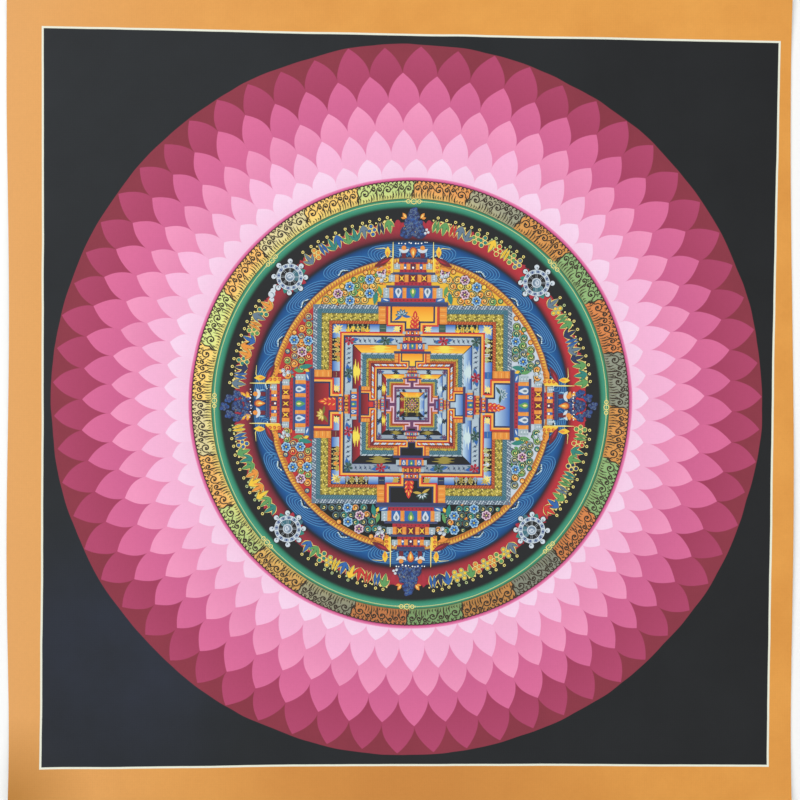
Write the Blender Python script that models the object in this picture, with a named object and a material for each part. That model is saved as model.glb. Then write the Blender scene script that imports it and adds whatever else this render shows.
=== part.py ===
"""Painted cotton canvas of a mandala thangka, lying face up.

The canvas is one sheet: cotton cloth, sized with glue, primed with chalk, painted on its upper face
and cut out by hand.  It lies flat on a surface apart from one soft crease down its middle, a few
low swells and four corners that stand up a little.

Metres, +Z up.  +X is the right and +Y the top of the painting.  The origin is on the surface, under
the middle of the sheet.
"""

import math

import bmesh
import bpy

# Driving dimensions of the sheet.
SHEET_WIDTH = 0.494
SHEET_HEIGHT = 0.508
SHEET_THICKNESS = 0.001

# The grid of faces that the sheet is bent in.  The crease runs up the sheet, so columns are narrow.
COLUMNS = 58
ROWS = 30

# The crease, left where the canvas was once folded.  It runs from the top edge to the bottom edge
# and falls away more gently on its left.
CREASE_TOP_X = 0.041
CREASE_BOTTOM_X = 0.026
CREASE_HEIGHT = 0.0013
CREASE_LEFT_SPREAD = 0.018
CREASE_RIGHT_SPREAD = 0.013

# Low swells: the place of the middle, the spread along X and Y, and the height.
SWELLS = (
    {"x": -0.150, "y": -0.222, "spread_x": 0.046, "spread_y": 0.040, "height": 0.0026},
    {"x": 0.118, "y": 0.240, "spread_x": 0.040, "spread_y": 0.030, "height": 0.0018},
    {"x": -0.244, "y": 0.060, "spread_x": 0.014, "spread_y": 0.060, "height": 0.0016},
    {"x": 0.244, "y": -0.085, "spread_x": 0.014, "spread_y": 0.055, "height": 0.0018},
)

# Corners: the side of the sheet along X and Y, how far in the corner bends, and how high it stands.
CORNERS = (
    {"side_x": -1, "side_y": -1, "reach": 0.052, "height": 0.0060},
    {"side_x": 1, "side_y": -1, "reach": 0.045, "height": 0.0034},
    {"side_x": 1, "side_y": 1, "reach": 0.042, "height": 0.0030},
    {"side_x": -1, "side_y": 1, "reach": 0.036, "height": 0.0018},
)

# A bend lower than this lies flat on the surface.
LIES_FLAT_UNDER = 0.0003

# The hand-cut edges wander by this much, in long waves.
EDGE_WANDER = 0.0009
EDGE_WAVES = (
    {"side": "left", "turns": 1.7, "start": 0.4},
    {"side": "right", "turns": 1.3, "start": 2.1},
    {"side": "bottom", "turns": 1.9, "start": 3.3},
    {"side": "top", "turns": 1.4, "start": 5.2},
)

# Colours, as linear values.
PAINTED_FACE_COLOUR = (0.42, 0.16, 0.20, 1.0)
PAINTED_FACE_ROUGHNESS = 0.62


def remove_all_objects():
    for old in list(bpy.data.objects):
        bpy.data.objects.remove(old)


def bell(distance, spread):
    """A smooth hump: 1 at its middle, about 0.6 one spread away."""
    return math.exp(-0.5 * (distance / spread) ** 2)


def crease_height(x, y):
    up = (y + SHEET_HEIGHT / 2) / SHEET_HEIGHT
    crease_x = CREASE_BOTTOM_X + (CREASE_TOP_X - CREASE_BOTTOM_X) * up
    spread = CREASE_LEFT_SPREAD if x < crease_x else CREASE_RIGHT_SPREAD
    return CREASE_HEIGHT * bell(x - crease_x, spread)


def swell_height(swell, x, y):
    return (
        swell["height"]
        * bell(x - swell["x"], swell["spread_x"])
        * bell(y - swell["y"], swell["spread_y"])
    )


def corner_height(corner, x, y):
    """The corner bends up across its diagonal, ever more steeply towards the tip."""
    from_side_x = SHEET_WIDTH / 2 - corner["side_x"] * x
    from_side_y = SHEET_HEIGHT / 2 - corner["side_y"] * y
    inwards = (from_side_x + from_side_y) / math.sqrt(2)
    share = max(0.0, 1 - inwards / corner["reach"])
    return corner["height"] * share**2


def lift(x, y):
    """How high the underside stands over the surface at a place on the sheet."""
    total = crease_height(x, y)
    total += sum(swell_height(swell, x, y) for swell in SWELLS)
    total += sum(corner_height(corner, x, y) for corner in CORNERS)
    return max(0.0, total - LIES_FLAT_UNDER)


def edge_wander(side, along):
    """How far a cut edge strays from its straight line; along runs from -1 to 1."""
    wave = next(row for row in EDGE_WAVES if row["side"] == side)
    return EDGE_WANDER * math.sin(math.pi * wave["turns"] * along + wave["start"])


def place_on_sheet(across, up):
    """From a place in the square from -1 to 1 to its place on the cut sheet, seen from above."""
    left = -SHEET_WIDTH / 2 + edge_wander("left", up)
    right = SHEET_WIDTH / 2 + edge_wander("right", up)
    bottom = -SHEET_HEIGHT / 2 + edge_wander("bottom", across)
    top = SHEET_HEIGHT / 2 + edge_wander("top", across)
    x = left + (right - left) * (across + 1) / 2
    y = bottom + (top - bottom) * (up + 1) / 2
    return x, y


def centre_on_origin(bm):
    """Puts the middle of the outline over the origin, after the edges have strayed."""
    xs = [vert.co.x for vert in bm.verts]
    ys = [vert.co.y for vert in bm.verts]
    middle = (-(min(xs) + max(xs)) / 2, -(min(ys) + max(ys)) / 2, 0.0)
    bmesh.ops.translate(bm, verts=bm.verts, vec=middle)


def paint_material():
    material = bpy.data.materials.new("gouache_on_primed_cotton")
    material.use_nodes = True
    shader = material.node_tree.nodes["Principled BSDF"]
    shader.inputs["Base Color"].default_value = PAINTED_FACE_COLOUR
    shader.inputs["Roughness"].default_value = PAINTED_FACE_ROUGHNESS
    shader.inputs["Metallic"].default_value = 0.0
    return material


def build_painted_canvas():
    """A flat grid cut to the sheet's outline, bent to how it lies, and given its thickness upwards."""
    bm = bmesh.new()
    bmesh.ops.create_grid(bm, x_segments=COLUMNS, y_segments=ROWS, size=1.0)
    for vert in bm.verts:
        vert.co.x, vert.co.y = place_on_sheet(vert.co.x, vert.co.y)
    centre_on_origin(bm)
    for vert in bm.verts:
        vert.co.z = lift(vert.co.x, vert.co.y)
    mesh = bpy.data.meshes.new("painted_canvas")
    bm.to_mesh(mesh)
    bm.free()
    mesh.materials.append(paint_material())

    canvas = bpy.data.objects.new("painted_canvas", mesh)
    bpy.context.scene.collection.objects.link(canvas)
    thickness = canvas.modifiers.new("thickness", "SOLIDIFY")
    thickness.thickness = SHEET_THICKNESS
    thickness.offset = 1.0
    return canvas


remove_all_objects()
build_painted_canvas()
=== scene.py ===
# %% [markdown]
# # A mandala painted on cotton
# The object is one sheet of cotton cloth, sized, primed with chalk and painted with gouache and a
# little gold.  It lies face up.  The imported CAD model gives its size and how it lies.  Here the sheet
# gets its finish: flat washes of colour are a material on the cloth, and the drawn brushwork on top
# is made of thin films of paint that follow the cloth.  Every length below is in millimetres of the
# real sheet, apart from the floor and the lights, until the last step of each piece brings it to metres.

# %% The fixed frame
import math
import random

import bmesh
import bpy
from mathutils import Matrix, Vector


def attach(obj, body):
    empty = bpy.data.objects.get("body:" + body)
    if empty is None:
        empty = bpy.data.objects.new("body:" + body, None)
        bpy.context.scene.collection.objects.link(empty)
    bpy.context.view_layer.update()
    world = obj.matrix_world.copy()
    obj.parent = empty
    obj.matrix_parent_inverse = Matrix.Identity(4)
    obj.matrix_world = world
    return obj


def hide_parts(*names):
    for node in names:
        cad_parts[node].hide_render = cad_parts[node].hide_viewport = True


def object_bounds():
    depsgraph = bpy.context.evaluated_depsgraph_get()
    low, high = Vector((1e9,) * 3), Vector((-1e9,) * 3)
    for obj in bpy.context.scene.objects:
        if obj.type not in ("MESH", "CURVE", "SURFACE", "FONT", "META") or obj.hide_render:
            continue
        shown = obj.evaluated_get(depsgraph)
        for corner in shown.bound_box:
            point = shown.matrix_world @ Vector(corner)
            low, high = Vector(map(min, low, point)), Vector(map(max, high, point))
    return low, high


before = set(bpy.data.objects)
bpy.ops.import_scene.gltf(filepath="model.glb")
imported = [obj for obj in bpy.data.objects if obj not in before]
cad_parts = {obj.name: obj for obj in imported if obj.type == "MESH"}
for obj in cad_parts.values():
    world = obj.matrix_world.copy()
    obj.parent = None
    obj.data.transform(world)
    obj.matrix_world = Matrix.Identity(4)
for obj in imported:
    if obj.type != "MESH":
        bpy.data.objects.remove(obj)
CAD_LOW, CAD_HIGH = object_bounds()
MM = 0.001
print("CAD box, mm:", [round(side / MM, 1) for side in CAD_HIGH - CAD_LOW])

# %% [markdown]
# ## Camera, floor and light
# The photograph looks straight down on the painting, with the top of the painting at the top of the
# picture.  One picture pixel is 0.63 mm of cloth, so a camera 1.25 m up needs a picture 504 mm wide
# at the height of the cloth.  The light there is soft daylight that comes from the upper left, so the
# left of the black field shines a little and the right stays dark.  The washes add painted sheen to
# the left of the border and the field, and painted light and shade to the ring of flames.

# %% The camera
PIXEL = 0.63
PICTURE_PIXELS = 800
CAMERA_HEIGHT = 1250.0
PAINTED_FACE_HEIGHT = 1.0
NEAREST_SEEN = 50.0
SENSOR = 36.0
picture_width = PIXEL * PICTURE_PIXELS


def put_in_scene(name, data):
    """An object that shows a mesh, a curve, a lamp or a camera."""
    made = bpy.data.objects.new(name, data)
    bpy.context.scene.collection.objects.link(made)
    return made


camera = bpy.data.cameras.new("camera")
camera.sensor_width = SENSOR
camera.lens = SENSOR * CAMERA_HEIGHT / picture_width
camera.clip_start = NEAREST_SEEN * MM
camera_object = put_in_scene("camera", camera)
camera_object.location = (0.0, 0.0, (CAMERA_HEIGHT + PAINTED_FACE_HEIGHT) * MM)
bpy.context.scene.camera = camera_object
bpy.context.scene.view_settings.view_transform = "Standard"
print("lens, mm:", round(camera.lens, 1))

# %% Colours, and the one helper that adds a node
def linear(code):
    """An sRGB colour such as "E5A660" as the linear red, green, blue and alpha of a shader."""
    channels = [int(code[i:i + 2], 16) / 255 for i in (0, 2, 4)]
    return [c / 12.92 if c < 0.04045 else ((c + 0.055) / 1.055) ** 2.4 for c in channels] + [1.0]


def add(tree, kind, feeds=None, **settings):
    """Adds a node, sets it, feeds its sockets with links, colours or values, and returns its output."""
    node = tree.nodes.new("ShaderNode" + kind)
    for name, value in settings.items():
        setattr(node, name, value)
    for socket, value in (feeds or {}).items():
        if isinstance(value, bpy.types.NodeSocket):
            tree.links.new(value, node.inputs[socket])
        else:
            node.inputs[socket].default_value = linear(value) if isinstance(value, str) else value
    return next((out for out in node.outputs if out.enabled), None)


def new_material(name):
    """A material with nothing in it, and its node tree."""
    material = bpy.data.materials.new(name)
    material.use_nodes = True
    material.node_tree.nodes.clear()
    return material, material.node_tree


def make_piece(name, bm):
    """An object with the shape of a bmesh."""
    mesh = bpy.data.meshes.new(name)
    bm.to_mesh(mesh)
    bm.free()
    return put_in_scene(name, mesh)


print("the orange of the border as linear light:", [round(c, 3) for c in linear("E5A660")])

# %% The floor and the soft lights, in metres and watts
FLOOR_HALF = 3.0
FLOOR_UNDER = 0.0003
FLOOR_WHITE = "F7F7F6"
FLOOR_ROUGHNESS = 0.9
LIGHTS = {
    "window_light": {"place": (-1.3, 0.9, 2.2), "size": 2.0, "watts": 44.0},
    "fill_light": {"place": (1.4, -0.8, 2.0), "size": 2.4, "watts": 19.0},
    "top_light": {"place": (0.3, 0.1, 2.8), "size": 2.6, "watts": 16.0},
}
AIR_COLOUR = "F4F6F8"
AIR_STRENGTH = 0.32


def add_light(name, place, size, watts):
    """A square soft light that faces the middle of the cloth."""
    lamp = bpy.data.lights.new(name, "AREA")
    lamp.size = size
    lamp.energy = watts
    light = put_in_scene(name, lamp)
    light.location = place
    light.rotation_euler = (-Vector(place)).to_track_quat("-Z", "Y").to_euler()


def make_floor():
    """A pale plain floor, far wider than the sheet."""
    bm = bmesh.new()
    bmesh.ops.create_grid(bm, x_segments=1, y_segments=1, size=FLOOR_HALF)
    floor = make_piece("floor", bm)
    floor.location = (0.0, 0.0, -FLOOR_UNDER)
    material, tree = new_material("pale_matt_floor")
    shader = add(tree, "BsdfPrincipled", {"Base Color": FLOOR_WHITE, "Roughness": FLOOR_ROUGHNESS})
    add(tree, "OutputMaterial", {"Surface": shader})
    floor.data.materials.append(material)
    return floor


make_floor()
for name, light in LIGHTS.items():
    add_light(name, **light)

world = bpy.data.worlds.new("studio")
world.use_nodes = True
world.node_tree.nodes["Background"].inputs["Color"].default_value = linear(AIR_COLOUR)
world.node_tree.nodes["Background"].inputs["Strength"].default_value = AIR_STRENGTH
bpy.context.scene.world = world
print("soft lights:", len(LIGHTS))

# %% [markdown]
# ## The cloth
# A hand-cut rectangle of primed cotton that was once folded down the middle.  The crease, the low
# swells and the four lifted corners have the sizes of the CAD sheet.  A grid is the plainest start:
# its rows and columns stay even, so the brushwork can be laid on it by the same height rule, and
# Solidify gives the cloth its thickness without opening the edges.

# %% How the cloth lies
SHEET_WIDTH = 494.0
SHEET_HEIGHT = 508.0
SHEET_THICKNESS = 1.0
CREASE = {"top_x": 41.0, "bottom_x": 26.0, "height": 1.3, "left_spread": 18.0, "right_spread": 13.0}
SWELLS = (
    {"x": -150.0, "y": -222.0, "spread_x": 46.0, "spread_y": 40.0, "height": 2.6},
    {"x": 118.0, "y": 240.0, "spread_x": 40.0, "spread_y": 30.0, "height": 1.8},
    {"x": -244.0, "y": 60.0, "spread_x": 14.0, "spread_y": 60.0, "height": 1.6},
    {"x": 244.0, "y": -85.0, "spread_x": 14.0, "spread_y": 55.0, "height": 1.8},
)
CORNERS = (
    {"side_x": -1, "side_y": -1, "reach": 52.0, "height": 6.0},
    {"side_x": 1, "side_y": -1, "reach": 45.0, "height": 3.4},
    {"side_x": 1, "side_y": 1, "reach": 42.0, "height": 3.0},
    {"side_x": -1, "side_y": 1, "reach": 36.0, "height": 1.8},
)
LIES_FLAT_UNDER = 0.3
EDGE_WANDER = 0.9
EDGE_WAVES = {"left": (1.7, 0.4), "right": (1.3, 2.1), "bottom": (1.9, 3.3), "top": (1.4, 5.2)}


def bell(distance, spread):
    return math.exp(-0.5 * (distance / spread) ** 2)


def lift(x, y):
    """How high the back of the cloth stands over the floor."""
    up = (y + SHEET_HEIGHT / 2) / SHEET_HEIGHT
    from_crease = x - CREASE["bottom_x"] - (CREASE["top_x"] - CREASE["bottom_x"]) * up
    spread = CREASE["left_spread"] if from_crease < 0 else CREASE["right_spread"]
    total = CREASE["height"] * bell(from_crease, spread)
    for swell in SWELLS:
        total += (
            swell["height"]
            * bell(x - swell["x"], swell["spread_x"])
            * bell(y - swell["y"], swell["spread_y"])
        )
    for corner in CORNERS:
        from_x = SHEET_WIDTH / 2 - corner["side_x"] * x
        from_y = SHEET_HEIGHT / 2 - corner["side_y"] * y
        inwards = (from_x + from_y) / math.sqrt(2)
        total += corner["height"] * max(0.0, 1 - inwards / corner["reach"]) ** 2
    return max(0.0, total - LIES_FLAT_UNDER)


def cut_edge(side, along):
    """How far a hand-cut edge strays from its straight line; along runs from -1 to 1."""
    turns, start = EDGE_WAVES[side]
    return EDGE_WANDER * math.sin(math.pi * turns * along + start)


print("lift at the lower left corner, mm:", round(lift(-SHEET_WIDTH / 2, -SHEET_HEIGHT / 2), 1))

# %% The sheet
SHEET_COLUMNS = 150
SHEET_ROWS = 150
SHARP_FOLD = 0.6  # Radians: the cut edges are crisp, and everything softer is shaded smooth.
BAKE_MARGIN = 4.0
BAKE_GAP = 0.005
FRONT_SHARE = 0.96


def settle_on_cad(bm):
    """Moves the cut outline so that its middle is over the CAD sheet's middle."""
    for axis in (0, 1):
        values = [vert.co[axis] for vert in bm.verts]
        middle = (CAD_LOW[axis] + CAD_HIGH[axis]) / 2 / MM
        shift = Vector((0.0, 0.0, 0.0))
        shift[axis] = middle - (min(values) + max(values)) / 2
        bmesh.ops.translate(bm, verts=bm.verts, vec=shift)


def map_for_baking(bm):
    """The painted face fills most of the bake map, and the back and the cut edges a narrow strip."""
    bake = bm.loops.layers.uv.new("OFBake")
    for face in bm.faces:
        upwards = face.normal.z > 0.5
        for loop in face.loops:
            u = loop.vert.co.x / (SHEET_WIDTH + BAKE_MARGIN) + 0.5
            v = loop.vert.co.y / (SHEET_HEIGHT + BAKE_MARGIN) + 0.5
            if upwards:
                loop[bake].uv = (u * FRONT_SHARE, v)
            else:
                loop[bake].uv = (FRONT_SHARE + BAKE_GAP + u * (1 - FRONT_SHARE - 2 * BAKE_GAP), v)


def make_sheet():
    """A flat grid cut to the sheet's outline, bent to how it lies, and given its thickness."""
    bm = bmesh.new()
    bmesh.ops.create_grid(bm, x_segments=SHEET_COLUMNS, y_segments=SHEET_ROWS, size=1.0)
    for vert in bm.verts:
        across, up = vert.co.x, vert.co.y
        left = -SHEET_WIDTH / 2 + cut_edge("left", up)
        right = SHEET_WIDTH / 2 + cut_edge("right", up)
        bottom = -SHEET_HEIGHT / 2 + cut_edge("bottom", across)
        top = SHEET_HEIGHT / 2 + cut_edge("top", across)
        vert.co.x = left + (right - left) * (across + 1) / 2
        vert.co.y = bottom + (top - bottom) * (up + 1) / 2
    settle_on_cad(bm)
    for vert in bm.verts:
        vert.co.z = lift(vert.co.x, vert.co.y)
    bmesh.ops.solidify(bm, geom=bm.faces[:], thickness=-SHEET_THICKNESS)
    bmesh.ops.recalc_face_normals(bm, faces=bm.faces)
    bm.normal_update()
    map_for_baking(bm)
    for face in bm.faces:
        face.smooth = True
    for edge in bm.edges:
        edge.smooth = len(edge.link_faces) == 2 and edge.calc_face_angle() < SHARP_FOLD
    bmesh.ops.scale(bm, verts=bm.verts, vec=(MM, MM, MM))
    return make_piece("cotton_canvas", bm)


sheet = make_sheet()
print("cloth faces:", len(sheet.data.polygons))

# %% [markdown]
# ## The washes
# The painter lays the large flat colours first: the orange border, the black field inside a ruled
# white line, the lotus petals row by row from dark to pale, and the coloured rings of the disc.
# An image could hold them, but it would blur close up.  So they are worked out in one material from
# the place on the cloth, and their edges stay crisp at any distance.  The order of the nodes is the
# order of the brush: each new wash covers the last.

# %% What the washes of the border and the field measure
BORDER_CORNERS = {
    "bottom left": Vector((-226.4, -232.0)),
    "bottom right": Vector((231.6, -230.5)),
    "top right": Vector((239.2, 225.5)),
    "top left": Vector((-225.1, 235.0)),
}
BORDER_BOWS = {"bottom": 1.3, "right": 0.6, "top": 0.2, "left": 0.6}
RULED_LINE_WIDTH = 1.25
RULED_WHITE = "E6E8D6"
BORDER_ORANGES = ("CC8536", "EDA952")
SHEEN_ORANGE = "DFA260"
SHADED_ORANGE = "C07C38"
CORNER_SHADE_ORANGE = "AA7024"
RIGHT_BLACKS = ("131416", "1E2022")
SHEEN_BLACKS = ("1B1E21", "272B2F")
BLUE_BLACK = "2A3042"

# Soft patches of such a colour, strongest within near of a spot and gone beyond far.
SHADED_EDGE = {"spot": (10.0, -258.0), "near": 30.0, "far": 170.0, "most": 0.75}
# Painted shade where the curled lower left corner lifts off the floor.
SHADED_CORNER = {"spot": (-246.4, -253.0), "near": 5.0, "far": 55.0, "most": 0.8}
BLUE_PATCH = {"spot": (-185.0, -165.0), "near": 30.0, "far": 100.0, "most": 0.8}
SHEEN_GROWTH = 4.0  # How sharply the painted sheen grows towards the left edge.
FIELD_SPAN = 500.0

# %% What the petals measure; along a row they are counted in petals
PETAL_CENTRE = (4.1, 0.3)
PETAL_RIM = 223.9
PETAL_RIM_REDS = ("7A2C3A", "933748")
PETALS_IN_A_ROW = 64
PETAL_START = -0.53
PETAL_UNEVENNESS = ((1, 0.20, 110.0), (2, 0.26, 41.0))
PETAL_ROWS = (
    {"tip": 222.6, "touch": 205.4, "turn": 0.0, "base": "9B3756", "pale": "B0446A"},
    {"tip": 205.0, "touch": 189.0, "turn": 0.5, "base": "C55A88", "pale": "D76996"},
    {"tip": 186.6, "touch": 172.2, "turn": 0.0, "base": "DB7DA6", "pale": "ED94BA"},
    {"tip": 170.4, "touch": 155.6, "turn": 0.5, "base": "EAA6C6", "pale": "F2B3D5"},
    {"tip": 152.6, "touch": 143.8, "turn": 0.0, "base": "EDBDD8", "pale": "F3CFE7"},
)
PETAL_TIPS_VARY = 2.4
PETAL_BLUNTNESS = 0.14
PETAL_CURVE = 2.1
PETAL_HALF_WIDTH = 0.515
PETAL_EDGE = 0.022
PETAL_TONE = {"at_tip": 0.72, "fall": 0.42, "chance": 0.5}

# %% What the disc's rings measure
DISC_CENTRE = (6.5, -2.5)
DISC_RIM = 141.0
DISC_RINGS = (
    (0.0, "D9B04A"), (86.6, "D9B04A"),
    (86.9, "7A3A22"), (87.3, "C27434"), (89.2, "D08E42"), (90.1, "DDA962"), (90.5, "7A4430"),
    (90.9, "182E52"), (92.4, "18477E"), (95.8, "205E9A"), (99.4, "18477E"), (100.8, "1B3450"),
    (101.5, "22222A"), (102.4, "42202A"), (103.8, "6E2A35"), (106.4, "8E313D"), (112.0, "A8323E"),
    (112.6, "212324"), (121.0, "212324"),
    (121.7, "24493D"), (122.6, "2F7B5E"), (124.5, "41947A"), (126.6, "3A906C"), (127.3, "193F31"),
    (127.7, "8A7A48"), (138.3, "8A7A48"), (138.7, "2A2320"),
    (139.0, "C14A7C"), (140.2, "DE6FA0"), (141.4, "EDA5CB"),
)
DISC_RINGS_REACH = 145.0
GLOW = {"from": 103.0, "to": 112.2, "fade": 4.0, "colour": "D23238"}
GLOW_REDDENS = {"at_middle": 0.1, "over": 220.0}

# The disc was drawn a little taller than wide, and its rim less so than what it holds.
EGG_INSIDE = 0.0165
EGG_AT_RIM = 0.0083
RIM_RISE = 0.7
EGG_FADES = (127.3, 138.7)

FLAME_RING = (127.6, 138.6)
FLAME_SEGMENTS = 24
FLAME_TURN = 0.8
FLAME_LEAN = 0.0003
# The flames are painted lit towards the upper left and painted shaded elsewhere, their feet painted
# lighter where lit.
LIT_FLAMES = ("F6BC68", "E0D29A", "FBD274", "D8E48C")
SHADED_FLAMES = ("DA864C", "909482", "D6944E", "8FB476")
FLAME_FOOT_LIGHT = {"ends": 132.6, "slope": 0.18, "colour": "F0DE7C"}
# Painted shade on the flames towards the bottom of the sheet.
SHADED_LOW_FLAMES = {"from": -60.0, "to": -135.0, "most": 0.3, "colour": "35342E"}
SUNLIGHT = {"direction": (-0.0062, 0.0026, 0.0), "middle": 0.25}

GARDEN_RIM = 86.8
GARDEN_GROUNDS = ("1F2121", "B83436", "E6B63C", "C3CED8")
GARDEN_TURN = 5 / 8
print("rings of the disc:", len(DISC_RINGS), "stops; rows of petals:", len(PETAL_ROWS))


# %% Brush rules written as nodes
BRUSH_SOFTNESS = 0.35


def cover(tree, under, wash, share):
    """A wash laid over what is there, where share is 1."""
    return add(tree, "Mix", {0: share, 6: under, 7: wash}, data_type="RGBA")


def within(tree, distance, edge, softness=BRUSH_SOFTNESS):
    """1 where the distance is under the edge, fading out over the softness of a brush."""
    short = add(tree, "Math", {0: edge, 1: distance}, operation="SUBTRACT")
    faded = {0: short, 1: 1 / softness, 2: 0.5}
    return add(tree, "Math", faded, operation="MULTIPLY_ADD", use_clamp=True)


def in_ring(tree, radius, inner, outer, fade_in=BRUSH_SOFTNESS):
    """1 between two radii."""
    outside = within(tree, inner, radius, fade_in)
    inside = within(tree, radius, outer)
    return add(tree, "Math", {0: outside, 1: inside}, operation="MULTIPLY")


def patch(tree, place, spot, near, far, most):
    """The share of a soft patch: most near a spot, and nothing far from it."""
    distance = add(tree, "VectorMath", {0: place, 1: (*spot, 0.0)}, operation="DISTANCE")
    return add(tree, "MapRange", {0: distance, 1: far, 2: near, 3: 0.0, 4: most})


def clock(tree, place, centre):
    """The distance from a centre, and the angle clockwise from the top in turns."""
    from_centre = add(tree, "VectorMath", {0: place, 1: (*centre, 0.0)}, operation="SUBTRACT")
    flat = add(tree, "VectorMath", {0: from_centre, 1: (1.0, 1.0, 0.0)}, operation="MULTIPLY")
    radius = add(tree, "VectorMath", {0: flat}, operation="LENGTH")
    sides = add(tree, "SeparateXYZ", {0: flat}).node.outputs
    angle = add(tree, "Math", {0: sides["X"], 1: sides["Y"]}, operation="ARCTAN2")
    return radius, add(tree, "Math", {0: angle, 1: 2 * math.pi}, operation="DIVIDE")


def ring_radius(tree, radius, turns):
    """The radius of the ring that passes a place, on a disc drawn taller than wide."""
    fade = {0: radius, 1: EGG_FADES[0], 2: EGG_FADES[1]}
    egg = add(tree, "MapRange", {**fade, 3: EGG_INSIDE, 4: EGG_AT_RIM})
    rise = add(tree, "MapRange", {**fade, 3: 0.0, 4: RIM_RISE})
    upright = add(tree, "Math", {0: turns, 1: 2 * math.pi}, operation="MULTIPLY")
    doubled = add(tree, "Math", {0: turns, 1: 4 * math.pi}, operation="MULTIPLY")
    up = add(tree, "Math", {0: upright}, operation="COSINE")
    tall = add(tree, "Math", {0: doubled}, operation="COSINE")
    stretch = add(tree, "Math", {0: egg, 1: tall}, operation="MULTIPLY")
    share = add(tree, "Math", {0: 1.0, 1: stretch}, operation="SUBTRACT")
    raised = add(tree, "Math", {0: rise, 1: up}, operation="MULTIPLY")
    even = add(tree, "Math", {0: radius, 1: share}, operation="MULTIPLY")
    return add(tree, "Math", {0: even, 1: raised}, operation="SUBTRACT")


def ruled_side(tree, place, start, end, bow):
    """How far inside one ruled side a place is; the side bows inwards by a little."""
    along = (end - start).normalized()
    inwards = (-along.y, along.x, 0.0)
    turned = along * math.pi / (end - start).length
    from_start = add(tree, "VectorMath", {0: place, 1: (*start, 0.0)}, operation="SUBTRACT")
    depth = add(tree, "VectorMath", {0: from_start, 1: inwards}, operation="DOT_PRODUCT")
    swing = add(tree, "VectorMath", {0: from_start, 1: (*turned, 0.0)}, operation="DOT_PRODUCT")
    sine = add(tree, "Math", {0: swing}, operation="SINE")
    return add(tree, "Math", {0: sine, 1: -bow, 2: depth}, operation="MULTIPLY_ADD")


def ramp(tree, factor, stops, reach, interpolation="LINEAR"):
    """A row of colours along a length from 0 to reach."""
    share = add(tree, "Math", {0: factor, 1: reach}, operation="DIVIDE")
    colour = add(tree, "ValToRGB", {0: share})
    row = colour.node.color_ramp
    row.interpolation = interpolation
    for element, (place, code) in zip(row.elements, (stops[0], stops[-1])):
        element.position = place / reach
        element.color = linear(code)
    for place, code in stops[1:-1]:
        row.elements.new(place / reach).color = linear(code)
    return colour


def colours_in_turn(tree, share, codes):
    """Flat colours that follow one another while a share runs from 0 to 1."""
    stops = [(i / len(codes), code) for i, code in enumerate(codes)]
    return ramp(tree, share, stops, 1.0, "CONSTANT")


def petal_row(tree, under, row, number, radius, petals):
    """A row of pointed petals that touch side by side and run on under the next row."""
    turned = add(tree, "Math", {0: petals, 1: row["turn"]}, operation="SUBTRACT")
    across = add(tree, "Math", {0: turned, 1: 0.5}, operation="PINGPONG")
    shifted = add(tree, "Math", {0: turned, 1: 0.5}, operation="ADD")
    inside = {0: shifted, 1: PETALS_IN_A_ROW}
    counted = add(tree, "Math", inside, operation="FLOORED_MODULO")
    which = add(tree, "Math", {0: counted}, operation="FLOOR")
    seed = add(tree, "Math", {0: which, 1: 100.0 * number}, operation="ADD")
    chance = add(tree, "TexWhiteNoise", {"W": seed}, noise_dimensions="1D")
    tip = {0: chance, 1: PETAL_TIPS_VARY, 2: row["tip"] - PETAL_TIPS_VARY / 2}
    own_tip = add(tree, "Math", tip, operation="MULTIPLY_ADD")
    under_tip = add(tree, "Math", {0: own_tip, 1: radius}, operation="SUBTRACT")
    depth = add(tree, "Math", {0: under_tip, 1: row["tip"] - row["touch"]}, operation="DIVIDE")
    to_touch = add(tree, "Math", {0: 1.0, 1: depth}, operation="SUBTRACT")
    above = add(tree, "Math", {0: to_touch, 1: 0.0}, operation="MAXIMUM")
    outline = {0: above, 1: 1 - PETAL_BLUNTNESS, 2: PETAL_BLUNTNESS}
    spread = add(tree, "Math", outline, operation="MULTIPLY_ADD")
    narrowed = add(tree, "Math", {0: spread, 1: PETAL_CURVE}, operation="POWER")
    halves = {0: narrowed, 1: -PETAL_HALF_WIDTH, 2: PETAL_HALF_WIDTH}
    half_width = add(tree, "Math", halves, operation="MULTIPLY_ADD")
    share = within(tree, across, half_width, PETAL_EDGE)
    fall = {0: depth, 1: -PETAL_TONE["fall"], 2: PETAL_TONE["at_tip"]}
    paler = add(tree, "Math", fall, operation="MULTIPLY_ADD")
    tone = {0: chance, 1: PETAL_TONE["chance"], 2: paler}
    toned = add(tree, "Math", tone, operation="MULTIPLY_ADD", use_clamp=True)
    petal = cover(tree, row["base"], row["pale"], toned)
    return cover(tree, under, petal, share)


# %% The places on the cloth, and the sway of a hand-drawn edge
SWAY_LENGTH = 500 / 11  # A hand-drawn edge sways about eleven times across the sheet.
LINE_SWAY = 0.8
PETAL_SWAY = 3.6
DISC_SWAY = 1.1

cloth_paint, tree = new_material("gouache_washes_on_cotton")
here = add(tree, "TexCoord").node.outputs["Object"]
exact = add(tree, "VectorMath", {0: here, 3: 1 / MM}, operation="SCALE")
swaying = {"Vector": exact, "Scale": 1 / SWAY_LENGTH, "Detail": 2.0}
sway = add(tree, "TexNoise", swaying).node.outputs["Color"]
sway_off = add(tree, "VectorMath", {0: sway, 1: (-0.5, -0.5, -0.5)}, operation="ADD")


def swayed(amount):
    """The places on the cloth, shifted in long waves by up to half the amount."""
    shift = {0: sway_off, 1: (amount, amount, 0.0), 2: exact}
    return add(tree, "VectorMath", shift, operation="MULTIPLY_ADD")


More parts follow.
